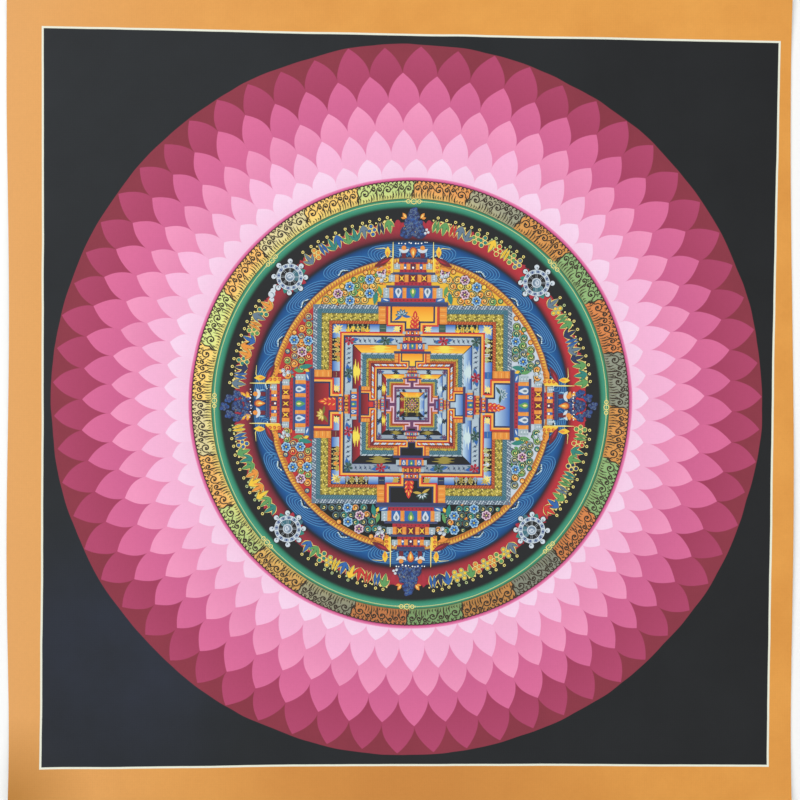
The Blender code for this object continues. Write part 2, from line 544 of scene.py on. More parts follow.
petal_place = swayed(PETAL_SWAY)
line_place = swayed(LINE_SWAY)
print("a petal's edge sways by up to, mm:", PETAL_SWAY / 2)

# %% The border, the black field and the ruled line
CLOUD_SIZE = 500 / 9  # The paint of border and field is thinner and thicker in patches this wide.

names = list(BORDER_CORNERS)
sides = [
    ruled_side(tree, line_place, BORDER_CORNERS[name], BORDER_CORNERS[names[(i + 1) % 4]], bow)
    for i, (name, bow) in enumerate(zip(names, BORDER_BOWS.values()))
]
lower_right = add(tree, "Math", {0: sides[0], 1: sides[1]}, operation="MINIMUM")
upper_left = add(tree, "Math", {0: sides[2], 1: sides[3]}, operation="MINIMUM")
depth_in_field = add(tree, "Math", {0: lower_right, 1: upper_left}, operation="MINIMUM")
off_line = add(tree, "Math", {0: depth_in_field}, operation="ABSOLUTE")
in_field = within(tree, 0.0, depth_in_field)

clouds = {"Vector": exact, "Scale": 1 / CLOUD_SIZE, "Detail": 4.0, "Roughness": 0.6}
cloud = add(tree, "TexNoise", clouds)
across = add(tree, "SeparateXYZ", {0: exact})
# Painted sheen: the border is painted paler and the black field lighter towards the left edge.
leftness = {0: across, 1: -1 / FIELD_SPAN, 2: 0.5}
left = add(tree, "Math", leftness, operation="MULTIPLY_ADD", use_clamp=True)
sheen_share = add(tree, "Math", {0: left, 1: SHEEN_GROWTH}, operation="POWER")
border = cover(tree, *BORDER_ORANGES, cloud)
border = cover(tree, border, SHEEN_ORANGE, sheen_share)
border = cover(tree, border, SHADED_ORANGE, patch(tree, exact, **SHADED_EDGE))
# Painted shade at the curled lower left corner.
border = cover(tree, border, CORNER_SHADE_ORANGE, patch(tree, exact, **SHADED_CORNER))
right_black = cover(tree, *RIGHT_BLACKS, cloud)
sheen_black = cover(tree, *SHEEN_BLACKS, cloud)
black = cover(tree, right_black, sheen_black, left)
blue_share = patch(tree, exact, **BLUE_PATCH)
blue_share = add(tree, "Math", {0: blue_share, 1: cloud}, operation="MULTIPLY")
black = cover(tree, black, BLUE_BLACK, blue_share)
painting = cover(tree, border, black, in_field)
painting = cover(tree, painting, RULED_WHITE, within(tree, off_line, RULED_LINE_WIDTH / 2))
print("nodes up to the ruled line:", len(tree.nodes))

# %% The five rows of petals
radius, turns = clock(tree, petal_place, PETAL_CENTRE)
counting = {0: turns, 1: PETALS_IN_A_ROW, 2: PETAL_START}
petals = add(tree, "Math", counting, operation="MULTIPLY_ADD")
for waves, size, start in PETAL_UNEVENNESS:
    phase = {0: turns, 1: 2 * math.pi * waves, 2: math.radians(start)}
    angle = add(tree, "Math", phase, operation="MULTIPLY_ADD")
    cosine = add(tree, "Math", {0: angle}, operation="COSINE")
    petals = add(tree, "Math", {0: cosine, 1: size, 2: petals}, operation="MULTIPLY_ADD")

rim = cover(tree, *PETAL_RIM_REDS, cloud)
painting = cover(tree, painting, rim, within(tree, radius, PETAL_RIM))
for number, row in enumerate(PETAL_ROWS):
    painting = petal_row(tree, painting, row, number, radius, petals)
print("petals:", PETALS_IN_A_ROW * len(PETAL_ROWS))

# %% The disc's rings; painted daylight lightens the left side, and the glow is redder on the right
disc_distance, disc_turns = clock(tree, swayed(DISC_SWAY), DISC_CENTRE)
disc_radius = ring_radius(tree, disc_distance, disc_turns)
rings = ramp(tree, disc_radius, DISC_RINGS, DISC_RINGS_REACH)

daylight = add(tree, "VectorMath", {0: exact, 1: SUNLIGHT["direction"]}, operation="DOT_PRODUCT")
brighter = {0: daylight, 1: SUNLIGHT["middle"]}
sunny = add(tree, "Math", brighter, operation="ADD", use_clamp=True)
rightness = {0: across, 1: 1 / GLOW_REDDENS["over"], 2: GLOW_REDDENS["at_middle"]}
redder = add(tree, "Math", rightness, operation="MULTIPLY_ADD", use_clamp=True)
glowing = in_ring(tree, disc_radius, GLOW["from"], GLOW["to"], GLOW["fade"])
glowing = add(tree, "Math", {0: glowing, 1: redder}, operation="MULTIPLY")
rings = cover(tree, rings, GLOW["colour"], glowing)

# %% The colours of the flames, four by turns
leaning = {0: disc_radius, 1: -FLAME_LEAN, 2: disc_turns}
flame_turns = add(tree, "Math", leaning, operation="MULTIPLY_ADD")
segment_start = FLAME_TURN / 360 - FLAME_LEAN * sum(FLAME_RING) / 2
cycles = FLAME_SEGMENTS / len(LIT_FLAMES)
cycling = {0: flame_turns, 1: cycles, 2: -segment_start * cycles}
in_cycle = add(tree, "Math", cycling, operation="MULTIPLY_ADD")
share_of_cycle = add(tree, "Math", {0: in_cycle, 1: 1.0}, operation="FLOORED_MODULO")
lit_flame = colours_in_turn(tree, share_of_cycle, LIT_FLAMES)
shaded_flame = colours_in_turn(tree, share_of_cycle, SHADED_FLAMES)
# Painted light and shade: lit flames towards the upper left, shaded ones elsewhere.
flame = cover(tree, shaded_flame, lit_flame, sunny)

slope = FLAME_FOOT_LIGHT["slope"]
near_foot = {0: disc_radius, 1: -slope, 2: slope * FLAME_FOOT_LIGHT["ends"]}
foot_share = add(tree, "Math", near_foot, operation="MULTIPLY_ADD", use_clamp=True)
foot_lit = add(tree, "Math", {0: foot_share, 1: sunny}, operation="MULTIPLY")
flame = cover(tree, flame, FLAME_FOOT_LIGHT["colour"], foot_lit)
height = across.node.outputs["Y"]
# Painted shade: the flames darken towards the bottom.
painted_low_shade = {0: height, 1: SHADED_LOW_FLAMES["from"], 2: SHADED_LOW_FLAMES["to"], 3: 0.0, 4: SHADED_LOW_FLAMES["most"]}
flame = cover(tree, flame, SHADED_LOW_FLAMES["colour"], add(tree, "MapRange", painted_low_shade))
rings = cover(tree, rings, flame, in_ring(tree, disc_radius, *FLAME_RING))

# %% The grounds of the four flower gardens
quarter_turn = add(tree, "Math", {0: disc_turns, 1: GARDEN_TURN}, operation="ADD")
quarter_share = add(tree, "Math", {0: quarter_turn, 1: 1.0}, operation="FLOORED_MODULO")
gardens = colours_in_turn(tree, quarter_share, GARDEN_GROUNDS)
rings = cover(tree, rings, gardens, within(tree, disc_radius, GARDEN_RIM))
painting = cover(tree, painting, rings, within(tree, disc_radius, DISC_RIM))
print("nodes up to the gardens:", len(tree.nodes))

# %% The bare back, the cotton's weave under the paint, and the finish of gouache
BARE_COTTON = "D6CFBC"
WEAVE_PITCH = 1.1  # The real cloth has two threads a millimetre; this is as fine as still shows.
WAVE_NODE_TURN = 2 * math.pi / 20
THREAD_TONE = 0.016
THREAD_RELIEF = 0.03
GRAIN_SIZE = 20 / 11  # The chalk priming shows eleven grains in 20 mm.
GRAIN_TONE = 0.10
DARKEST_GRAIN = 0.95
GOUACHE_ROUGHNESS = 0.62
BLACK_IS_SMOOTHER = 0.04

# Only the face is painted: the back and the cut edges are bare primed cotton.
up = add(tree, "SeparateXYZ", {0: here.node.outputs["Normal"]}).node.outputs["Z"]
on_face = add(tree, "Math", {0: up, 1: 0.5}, operation="GREATER_THAN")
painting = cover(tree, BARE_COTTON, painting, on_face)

thread = {"Vector": exact, "Scale": WAVE_NODE_TURN / WEAVE_PITCH, "Distortion": 1.6, "Detail": 1.0}
warp = add(tree, "TexWave", thread, bands_direction="X").node.outputs["Fac"]
weft = add(tree, "TexWave", thread, bands_direction="Y").node.outputs["Fac"]
weave = add(tree, "Math", {0: warp, 1: weft}, operation="ADD")
grains = {"Vector": exact, "Scale": 1 / GRAIN_SIZE, "Detail": 3.0, "Roughness": 0.7}
grain = add(tree, "TexNoise", grains)
worn = add(tree, "Math", {0: grain, 1: GRAIN_TONE, 2: DARKEST_GRAIN}, operation="MULTIPLY_ADD")
threaded = add(tree, "Math", {0: weave, 1: THREAD_TONE, 2: worn}, operation="MULTIPLY_ADD")
tone = add(tree, "CombineXYZ", {0: threaded, 1: threaded, 2: threaded})
painting = add(tree, "Mix", {0: 1.0, 6: painting, 7: tone}, data_type="RGBA", blend_type="MULTIPLY")
bump = add(tree, "Bump", {"Height": weave, "Strength": 0.35, "Distance": THREAD_RELIEF * MM})
smoother = {0: in_field, 1: -BLACK_IS_SMOOTHER, 2: GOUACHE_ROUGHNESS}
roughness = add(tree, "Math", smoother, operation="MULTIPLY_ADD")
shader = add(
    tree,
    "BsdfPrincipled",
    {"Base Color": painting, "Roughness": roughness, "Normal": bump, "Specular IOR Level": 0.2},
)
add(tree, "OutputMaterial", {"Surface": shader})
sheet.data.materials.append(cloth_paint)
print("nodes in the washes:", len(tree.nodes))

# %% [markdown]
# ## The brushwork
# Everything finer than a wash is drawn with a brush, so here too each mark is a brush stroke: a line
# that a flat nib follows, wide or narrow as the painter presses.  A line, a bar, a leaf and a dot are
# all strokes.  Blender's curves sweep the nib, and the ribbons that come out are laid on the cloth by
# the cloth's own height rule.  A later coat lies a hair above an earlier one, as paint does.

# %% Where a motif is drawn
def egg_reach(radius, turn):
    """How far from the disc's centre a ring lies at a turn: the same egg shape as in the washes."""
    start, end = EGG_FADES
    to_rim = min(1.0, max(0.0, (radius - start) / (end - start)))
    egg = EGG_INSIDE + (EGG_AT_RIM - EGG_INSIDE) * to_rim
    return radius * (1 + egg * math.cos(2 * turn)) + RIM_RISE * to_rim * math.cos(turn)


class Spot:
    """Turns a motif's own right and up into a place on the sheet, straight or bent round a ring."""

    def __init__(self, x, y, turn=0.0, size=1.0, ring=0.0, flip=1):
        self.x, self.y, self.turn = x, y, turn
        self.size, self.ring, self.flip = size, ring, flip

    def at(self, u, v):
        u, v = u * self.size * self.flip, v * self.size
        turn, across, up = self.turn, u, v
        if self.ring:
            turn, across = self.turn + u / self.ring, 0.0
            up = egg_reach(self.ring + v, turn)
        x = self.x + across * math.cos(turn) + up * math.sin(turn)
        y = self.y - across * math.sin(turn) + up * math.cos(turn)
        return x, y

    def child(self, u, v, turn=0.0, size=1.0):
        """A straight spot of its own inside this one; the turn is in degrees clockwise."""
        bend = u * self.size / self.ring if self.ring else 0.0
        turned = self.turn + self.flip * bend + self.flip * math.radians(turn)
        return Spot(*self.at(u, v), turned, self.size * size)

    def both_ways(self):
        """The same spot mirrored, and as it is, for what stands on its left and on its right."""
        return [Spot(self.x, self.y, self.turn, self.size, self.ring, flip) for flip in (-1, 1)]


def on_ring(radius, clock_degrees):
    """A spot on a ring of the disc: up is outwards and right is clockwise."""
    return Spot(*DISC_CENTRE, math.radians(clock_degrees), 1.0, radius)


# %% Strokes, dabs and dots
LONGEST_STRETCH = 4.0
HAND_TREMOR = 0.05
STEADY_WIDTH = 1.5  # A nib wider than this doesn't tremble.
LEAST_MITRE = 0.65
LINE_ENDS = 0.35
strokes = []
hand = random.Random(7)


def divided(points, widths, closed):
    """The stroke's points with more of them wherever a stretch is too long to follow the cloth."""
    count = len(points)
    ends = range(count if closed else count - 1)
    spots = []
    for i in ends:
        start, end = Vector(points[i]), Vector(points[(i + 1) % count])
        first, last = widths[i], widths[(i + 1) % count]
        parts = max(1, math.ceil((end - start).length / LONGEST_STRETCH))
        for k in range(parts):
            spots.append((start.lerp(end, k / parts), first + (last - first) * k / parts))
    if not closed:
        spots.append((Vector(points[-1]), widths[-1]))
    return spots


def mitred(spots, closed):
    """Widens the nib at a corner, where it lies across both arms of the stroke."""
    widened = []
    for i, (point, width) in enumerate(spots):
        inner = closed or 0 < i < len(spots) - 1
        before = point - spots[i - 1][0]
        after = spots[(i + 1) % len(spots)][0] - point
        half_bend = before.angle(after, 0.0) / 2 if inner else 0.0
        widened.append((point, width / max(LEAST_MITRE, math.cos(half_bend))))
    return widened


def stroke(pigment, coat, spot, points, width, closed=False):
    """One brush stroke; the width is one number or one for each point."""
    widths = width if isinstance(width, (list, tuple)) else [width] * len(points)
    widths = [w * spot.size for w in widths]
    steady = len(points) < 3 or max(widths) > STEADY_WIDTH
    tremor = 0.0 if steady else HAND_TREMOR
    placed = [
        (x + hand.uniform(-tremor, tremor), y + hand.uniform(-tremor, tremor))
        for x, y in (spot.at(u, v) for u, v in points)
    ]
    strokes.append((pigment, coat, mitred(divided(placed, widths, closed), closed), closed))


def line(pigment, coat, spot, points, width):
    """A drawn line that starts and ends thin."""
    widths = [width] * len(points)
    widths[0] = widths[-1] = width * LINE_ENDS
    stroke(pigment, coat, spot, points, widths)


# How wide a dab is, as a share of its full width, at shares of its length.
DAB_SHAPES = {
    "leaf": ((0.0, 0.06), (0.15, 0.5), (0.35, 0.9), (0.5, 1.0), (0.68, 0.85), (0.86, 0.45), (1.0, 0.06)),
    "petal": ((0.0, 0.15), (0.3, 0.6), (0.6, 1.0), (0.82, 0.9), (1.0, 0.4)),
    "round": ((0.017, 0.26), (0.146, 0.71), (0.371, 0.97), (0.629, 0.97), (0.854, 0.71), (0.983, 0.26)),
    "dot": ((0.0, 0.41), (0.29, 1.0), (0.71, 1.0), (1.0, 0.41)),
    "bar": ((0.0, 1.0), (1.0, 1.0)),
    "tongue": ((0.0, 1.0), (0.45, 0.75), (1.0, 0.1)),
}


def dab(pigment, coat, spot, start, end, width, shape="leaf"):
    """One press of the brush from a start to an end; the shape says where it is widest."""
    points = [
        (start[0] + (end[0] - start[0]) * s, start[1] + (end[1] - start[1]) * s)
        for s, _ in DAB_SHAPES[shape]
    ]
    stroke(pigment, coat, spot, points, [width * share for _, share in DAB_SHAPES[shape]])


def dot(pigment, coat, spot, u, v, size):
    shape = "round" if size * spot.size > 2.0 else "dot"
    dab(pigment, coat, spot, (u, v - size / 2), (u, v + size / 2), size, shape)


def arc(u, v, radius, start, end, steps=10, end_radius=None):
    """Points round a centre, with angles clockwise from up; a changing radius makes a curl."""
    last = radius if end_radius is None else end_radius
    turns = [i / steps for i in range(steps + 1)]
    reach = [radius + (last - radius) * t for t in turns]
    angle = [math.radians(start + (end - start) * t) for t in turns]
    return [(u + r * math.sin(a), v + r * math.cos(a)) for r, a in zip(reach, angle)]


def loop(pigment, coat, spot, u, v, radius, width, steps=12):
    """A small ring drawn in one go."""
    stroke(pigment, coat, spot, arc(u, v, radius, 0, 360, steps)[:-1], width, closed=True)


# %% [markdown]
# ## The outer rings of the disc
# From the petals inwards: a ring of flames, a green ring with a gold thread, a black ring with jewel
# buds over a red glow, a ring of water, and an orange cord.  Each motif is drawn once in its own
# small frame and repeated round its ring, never quite the same twice.

# %% The ring of flames
FLAME_MIDDLE = sum(FLAME_RING) / 2
FLAME_HALF_HEIGHT = (FLAME_RING[1] - FLAME_RING[0]) / 2
FLAME_STEP = 360 / FLAME_SEGMENTS
FLAME_HALF_LENGTH = math.pi * FLAME_MIDDLE / FLAME_SEGMENTS
FLAME_FOOT = 0.1 - FLAME_HALF_HEIGHT
FLAME_CURLS = (
    (-12.6, 0.3, 2.9), (-7.2, 1.9, 1.5), (-3.4, 1.2, 1.7), (1.6, 0.4, 2.6), (6.6, 2.0, 1.5),
    (10.2, 1.3, 1.7), (14.6, 0.7, 2.0),
)
FOLD_PITCH = 1.75
TIP_PITCH = 2.5
SMALL_CURLS = 12
SMALL_CURL_PITCH = 2.8


def flame_curl(spot, u, v, radius, way):
    """A line that rolls up round an eye, thicker as it goes, and the edge of the fold it springs from."""
    stem = [(u - way * radius * 1.9, v - radius * 1.2), (u - way * radius * 1.4, v - radius * 0.5)]
    roll = arc(u, v, radius, -100 * way, 320 * way, 12, 0.28 * radius)
    widths = [0.4, 0.6] + [0.6 + 0.026 * k for k in range(len(roll))]
    stroke("umber", 1, spot, stem + roll, widths)
    dot("umber", 1, spot, u, v, 0.4 * radius)
    under = [(u + way * radius * 1.1, v - radius * 0.4), (u + way * radius * 1.25, v - radius * 1.3)]
    line("umber", 1, spot, under + [(u + way * radius * 0.9, FLAME_FOOT)], 0.75)


def fold_top(u, way):
    """How high a fold reaches: up to the curl over it, or on past the curls between two of them."""
    for curl_u, curl_v, radius in FLAME_CURLS:
        if abs(u * way - curl_u) < radius + 0.3:
            return curl_v - radius - 0.6
    return 0.5


def flame_segment(spot, way):
    """Flames rolled over to one side: folds rise from the foot, curls top them, tips lick the rim."""
    for u, v, radius in FLAME_CURLS:
        flame_curl(spot, u * way, v + hand.uniform(-0.3, 0.3), radius, way)
    for k in range(SMALL_CURLS):
        u = (k + 0.5 - SMALL_CURLS / 2) * SMALL_CURL_PITCH + hand.uniform(-0.4, 0.4)
        v = 3.6 + 0.4 * (-1) ** k
        line("umber", 1, spot, arc(u, v, 0.95, -120 * way, 200 * way, 7, 0.35), 0.5)
    folds = round(2 * FLAME_HALF_LENGTH / FOLD_PITCH)
    for k in range(folds):
        u = (k + 0.5 - folds / 2) * FOLD_PITCH + hand.uniform(-0.2, 0.2)
        top = fold_top(u, way) + hand.uniform(-0.3, 0.3)
        fold = [(u, FLAME_FOOT), (u + 0.5 * way, (FLAME_FOOT + top) / 2), (u + 0.1 * way, top)]
        line("umber", 0, spot, fold, 0.6)
        shade = [(u + 0.9 * way, FLAME_FOOT), (u + 1.1 * way, top - 0.6)]
        line("olive", 0, spot, shade, 0.35)
    tips = round(2 * FLAME_HALF_LENGTH / TIP_PITCH)
    for k in range(tips):
        u = (k + 0.5 - tips / 2) * TIP_PITCH
        line("umber", 2, spot, arc(u, FLAME_HALF_HEIGHT - 1.0, 1.25, -95, 90, 5), 0.5)
        lick_top, lick_foot = FLAME_HALF_HEIGHT + 0.3, FLAME_HALF_HEIGHT - 1.3
        dab("umber", 2, spot, (u + 1.3, lick_top), (u + 1.3, lick_foot), 0.95)


for number in range(FLAME_SEGMENTS):
    segment = on_ring(FLAME_MIDDLE, FLAME_TURN + FLAME_STEP * (number + 0.5))
    flame_segment(segment, 1 if number % 3 else -1)
    rises = enumerate((-1, -0.5, 0, 0.5, 1))
    edge = [(1.2 * rise + 0.45 * (-1) ** i, FLAME_HALF_HEIGHT * rise) for i, rise in rises]
    line("umber", 2, segment.child(-FLAME_HALF_LENGTH, 0.0), edge, 0.8)
print("strokes in the flames:", len(strokes))

# %% The green ring with its gold thread
GREEN_MIDDLE = 125.6
THREAD_STEPS = 300
CHAINS = 8
BEADS = ((5.4, 1.1), (6.8, 0.9), (8.0, 0.7), (9.1, 0.6))

step = 2 * math.pi * GREEN_MIDDLE / THREAD_STEPS
thread_path = [(k * step, 0.0) for k in range(THREAD_STEPS)]
stroke("pale_gold", 0, on_ring(GREEN_MIDDLE, 0), thread_path, 0.55, closed=True)
for k in range(CHAINS):
    chain = on_ring(GREEN_MIDDLE, 1 + 360 * k / CHAINS)
    loop("pale_yellow", 1, chain, 0.0, 0.0, 1.6, 0.5)
    dot("pale_gold", 1, chain, 0.0, 0.0, 1.0)
    for way in (-1, 1):
        loop("pale_yellow", 1, chain, 3.4 * way, 0.0, 1.15, 0.5, steps=10)
        for along, size in BEADS:
            dot("pale_gold", 1, chain, along * way, 0.0, size)
    for u, v in ((-1.7, 1.5), (1.7, 1.5), (-1.7, -1.5), (1.7, -1.5)):
        dot("pale_gold", 1, chain, u, v, 0.6)
print("gold chains:", CHAINS)

# %% The black ring: wheels, trees and jewel buds over a red glow
WHEEL_RADIUS = 110.2
WHEEL_TURNS = (-43.5, 46.2, 136.1, 224.5)
TREES = ((1.0, 110.6, "tiers"), (90.7, 108.6, "lobes"), (180.6, 107.6, "tiers"), (269.3, 110.8, "lobes"))
BUD_RADIUS = 111.9
BUDS_IN_A_SECTOR = 12
BUD_COLOURS = (
    "yellow_ochre", "leaf_green", "vermilion", "slate_blue", "indigo", "leaf_green", "malachite",
    "orange", "cobalt",
)
BUD_KINDS = ("lotus", "hanging", "jewels", "leaves")
CLEAR_OF_TREE = 7.6
CLEAR_OF_WHEEL = 8.6
CLOUD_BEFORE_WHEEL = 3.2
LICKS = 230
LICK_RADIUS = 110.4
WHEEL_LEAVES = ("malachite", "deep_teal", "crimson")


def wheel(spot):
    """A wheel of eight spokes with a knob over each spoke, and leaves behind it."""
    for k in range(7):
        leaf = spot.child(0.0, 0.0, 110 + 22 * k)
        dab(WHEEL_LEAVES[k % 3], 2, leaf, (0, 6.0), (0, 10.9), 3.4)
    dot("lamp_black", 3, spot, 0.0, 0.0, 17.4)
    dab("deep_teal", 4, spot.child(0.0, 0.0, 120), (0, 0), (0, 6.0), 7.0, "petal")
    loop("steel", 4, spot, 0.0, 0.0, 7.1, 2.2, 32)
    for reach, width in ((8.2, 0.5), (6.0, 0.45)):
        loop("silver_white", 6, spot, 0.0, 0.0, reach, width, 32)
    for k in range(24):
        tick = spot.child(0.0, 0.0, 15 * k + 7)
        dab("navy" if k % 2 else "silver_white", 5, tick, (0.0, 6.1), (0.0, 8.1), 0.8, "bar")
    for k in range(8):
        spoke = spot.child(0.0, 0.0, 45 * k)
        for half in spoke.both_ways():
            line("silver_white", 5, half, [(0.42, 2.6), (0.42, 6.0)], 0.4)
        dot("lamp_black", 4, spoke, 0.0, 10.0, 3.9)
        dot("silver_white", 7, spoke, 0.0, 10.0, 3.1)
        dot("slate_blue", 8, spoke, 0.35, 9.5, 0.9)
    dot("steel", 5, spot, 0.0, 0.0, 5.4)
    loop("silver_white", 6, spot, 0.0, 0.0, 2.8, 0.5, 16)
    whirl = arc(0.0, 0.0, 1.5, -60, 130, 5) + arc(0.0, 0.0, 0.6, 130, 330, 5)
    line("silver_white", 7, spot, whirl, 0.7)
    line("slate_blue", 7, spot, arc(0.0, 0.0, 1.9, 160, 320, 5), 0.5)


def leaf_cloud(spot, u, v, size):
    """One round cloud of leaves: a dark rim, a blue body and a curl."""
    dot("indigo", 3, spot, u, v, size)
    dot("navy", 4, spot, u, v, size * 0.78)
    start = hand.uniform(0, 360)
    pigment = "slate_blue" if hand.random() < 0.6 else "cobalt"
    line(pigment, 5, spot, arc(u, v, size * 0.27, start, start + 230, 5), 0.32)


# Where the round clusters of leaves of each form of tree stand, and how far they reach.
LOBE_REACHES = (8.2, 7.0, 7.4, 7.0, 6.8, 7.0, 7.4, 7.0)
TREE_CLUSTERS = {
    "tiers": (
        (-4.0, -4.4, 4.3), (4.0, -4.4, 4.3), (0.0, -2.0, 4.8), (-3.2, 1.0, 2.8), (3.2, 1.0, 2.8),
        (0.0, 6.2, 3.9), (0.0, 9.4, 2.0), (0.0, 3.0, 2.8),
    ),
    "lobes": [(0.0, 0.0, 3.8)] + [
        (reach * math.sin(k * math.pi / 4), reach * math.cos(k * math.pi / 4), 2.5)
        for k, reach in enumerate(LOBE_REACHES)
    ],
}


def cloud_tree(spot, form):
    """A dark blue tree of round clouds of leaves, in tiers or in lobes, with small fruit."""
    for u, v, reach in TREE_CLUSTERS[form]:
        dot("indigo", 2, spot, u, v, 2 * reach)
        leaves = reach * 2.2
        for k in range(round(leaves)):
            angle = k * 2.4
            out = reach * 0.92 * math.sqrt((k + 0.5) / leaves)
            across, up = u + out * math.sin(angle), v + out * math.cos(angle)
            leaf_cloud(spot, across, up, hand.uniform(2.2, 2.9))
    for k in range(7):
        fruit = "slate_blue" if k % 3 else "gold_ochre"
        dot(fruit, 6, spot, hand.uniform(-6, 6), hand.uniform(-7, 1), 0.6)


def blazes_by_tiers(spot):
    """Orange flames over the shoulders of a tiered tree, red buds beside it and white blossom."""
    for half in spot.both_ways():
        dab("orange", 5, half.child(4.4, 4.4, 35), (0, 0), (0, 4.2), 2.2)
        dab("pale_yellow", 6, half.child(4.6, 4.7, 35), (0, 0), (0, 2.8), 0.7)
        dab("orange", 5, half.child(5.2, 4.2, 75), (0, 0), (0, 2.8), 1.4)
        dab("crimson", 4, half.child(9.6, 0.4, 12), (0, -3.0), (0, 3.0), 3.4, "petal")
    for u, v in ((8.4, -2.6), (9.4, -4.2), (7.6, -4.8)):
        dot("silver_white", 6, spot, u, v, 1.6)


def blazes_by_lobes(spot):
    """Orange flames round the foot of a lobed tree."""
    for half in spot.both_ways():
        for v, turn, length in ((-8.4, 8, 4.2), (-5.6, 40, 4.6), (-7.0, 75, 3.4)):
            blaze = half.child(5.8, v, turn)
            dab("orange", 4, blaze, (0, 0), (0, length), 2.3)
            dab("yellow_ochre", 5, blaze, (0, 0.4), (0, length - 1.2), 1.0)


def rimmed_leaf(colour, edge, spot, start, end, width):
    """A leaf with a light rim, a dark line inside the rim and a coloured heart."""
    for coat, pigment, narrower in ((2, edge, 0.0), (3, "lamp_black", 0.9), (4, colour, 1.4)):
        dab(pigment, coat, spot, start, end, width - narrower)


def jewel_bud(spot, kind, colour):
    """A lotus bud, a hanging bud, four jewels or paired leaves, with a small ring over it."""
    edge = "pale_yellow" if colour != "yellow_ochre" else "pale_gold"
    if kind == "lotus":
        for turn, length, width in ((-36, 6.4, 3.0), (36, 6.4, 3.0), (0, 8.6, 3.4)):
            rimmed_leaf(colour, edge, spot.child(0, -5.4, turn), (0, 0), (0, length), width)
    elif kind == "hanging":
        for turn, length, width in ((-150, 6.0, 2.9), (150, 6.0, 2.9), (180, 8.8, 3.6)):
            rimmed_leaf(colour, edge, spot.child(0, 3.0, turn), (0, 0), (0, length), width)
        for half in spot.both_ways():
            dot(edge, 5, half, 1.9, 2.4, 1.1)
    elif kind == "jewels":
        for u, v, size in ((0.0, -3.9, 3.2), (-1.5, -1.4, 3.0), (1.5, -1.4, 3.0), (0.0, 1.2, 3.2)):
            for coat, pigment, narrower in ((2, edge, 0.0), (3, "lamp_black", 0.8), (4, colour, 1.2)):
                dot(pigment, coat, spot, u, v, size - narrower)
    elif kind == "leaves":
        for half in spot.both_ways():
            pair = half.child(1.35, -5.4, -4)
            rimmed_leaf(colour, edge, pair, (0, 0), (0, 8.2), 3.0)
            line("lamp_black", 5, pair, [(0, 2.2), (0, 6.0)], 0.35)
            dot(edge, 5, half, 2.4, 2.2, 1.0)
    loop(edge, 3, spot, 0.0, 4.3, 0.7, 0.45, 8)


for clock_degrees in WHEEL_TURNS:
    wheel(on_ring(WHEEL_RADIUS, clock_degrees).child(0, 0))
for clock_degrees, radius, form in TREES:
    tree_spot = on_ring(radius, clock_degrees).child(0, 0)
    cloud_tree(tree_spot, form)
    if form == "tiers":
        blazes_by_tiers(tree_spot)
    else:
        blazes_by_lobes(tree_spot)

# A white cloud scroll lies beside the first wheel.
white_cloud = on_ring(112.2, WHEEL_TURNS[0] - 7.8).child(0, 0, 80)
for u, v, size in ((0.0, 4.6, 2.9), (0.0, 1.6, 3.4), (0.3, -0.6, 4.4), (1.9, -3.6, 3.2)):
    dot("silver_white", 3, white_cloud, u, v, size)
line("slate_blue", 4, white_cloud, arc(0.4, -1.6, 1.9, -40, 150, 6), 0.4)

tree_turns = [row[0] for row in TREES]
stops = sorted([turn % 360 for turn in WHEEL_TURNS] + tree_turns)
for i, start in enumerate(stops):
    end = stops[(i + 1) % len(stops)] + (360 if i + 1 == len(stops) else 0)
    from_tree = start in tree_turns
    first = start + (CLEAR_OF_TREE if from_tree else CLEAR_OF_WHEEL)
    last = end - (CLEAR_OF_WHEEL if from_tree else CLEAR_OF_TREE)
    if end == WHEEL_TURNS[0] % 360:
        last -= CLOUD_BEFORE_WHEEL
    count = BUDS_IN_A_SECTOR - (i % 3 == 1)
    for k in range(count):
        clock_degrees = first + (last - first) * k / (count - 1) + hand.uniform(-0.25, 0.25)
        place_on_ring = on_ring(BUD_RADIUS + hand.uniform(-0.4, 0.4), clock_degrees)
        bud = place_on_ring.child(0, 0, hand.uniform(-7, 7), 1.02)
        colour = hand.choice(BUD_COLOURS)
        jewel_bud(bud, hand.choice(BUD_KINDS), colour)

# Small red flames lick up from the glow between the buds.
for k in range(LICKS):
    on_glow = on_ring(LICK_RADIUS, k * 360 / LICKS + hand.uniform(-0.4, 0.4))
    lick = on_glow.child(0, 0, hand.uniform(-25, 25))
    dab("crimson", 0, lick, (0, -0.6), (0, hand.uniform(1.6, 3.8)), 2.4)
print("strokes up to the black ring:", len(strokes))

# %% The ring of water
WATER_FOOT = 91.0
WAVES = 20
CRESTS = 7


def wave(spot, lean):
    """One breaker: crest inside crest, steep in front and long behind, with foam at its heart."""
    for k in range(CRESTS):
        height, front, back = 1.8 + 1.2 * k, 1.6 + 1.3 * k, 3.2 + 2.8 * k
        turns = [math.radians(10 * a) for a in range(-9, 10)]
        crest = [((front if a > 0 else back) * math.sin(a), height * math.cos(a) ** 0.8) for a in turns]
        path = [(lean * (u + 0.75 * v), v) for u, v in crest]
        line("sky_blue", 1, spot, path, 0.45)
        line("deep_blue", 0, spot, [(u, v - 0.55) for u, v in path[1:]], 1.0)
    for i in range(9):
        u = 0.75 * i - 1.6 + hand.uniform(-0.2, 0.2)
        v = 0.5 + 1.5 * math.exp(-((u - 1.2) / 2.2) ** 2)
        dab("lamp_black", 2, spot, (lean * u - 0.5, v - 0.8), (lean * u + 0.3, v), 0.9)
        dab("pale_cyan", 3, spot, (lean * u, v), (lean * (u + 0.6), v + 0.8), hand.uniform(0.5, 0.9))


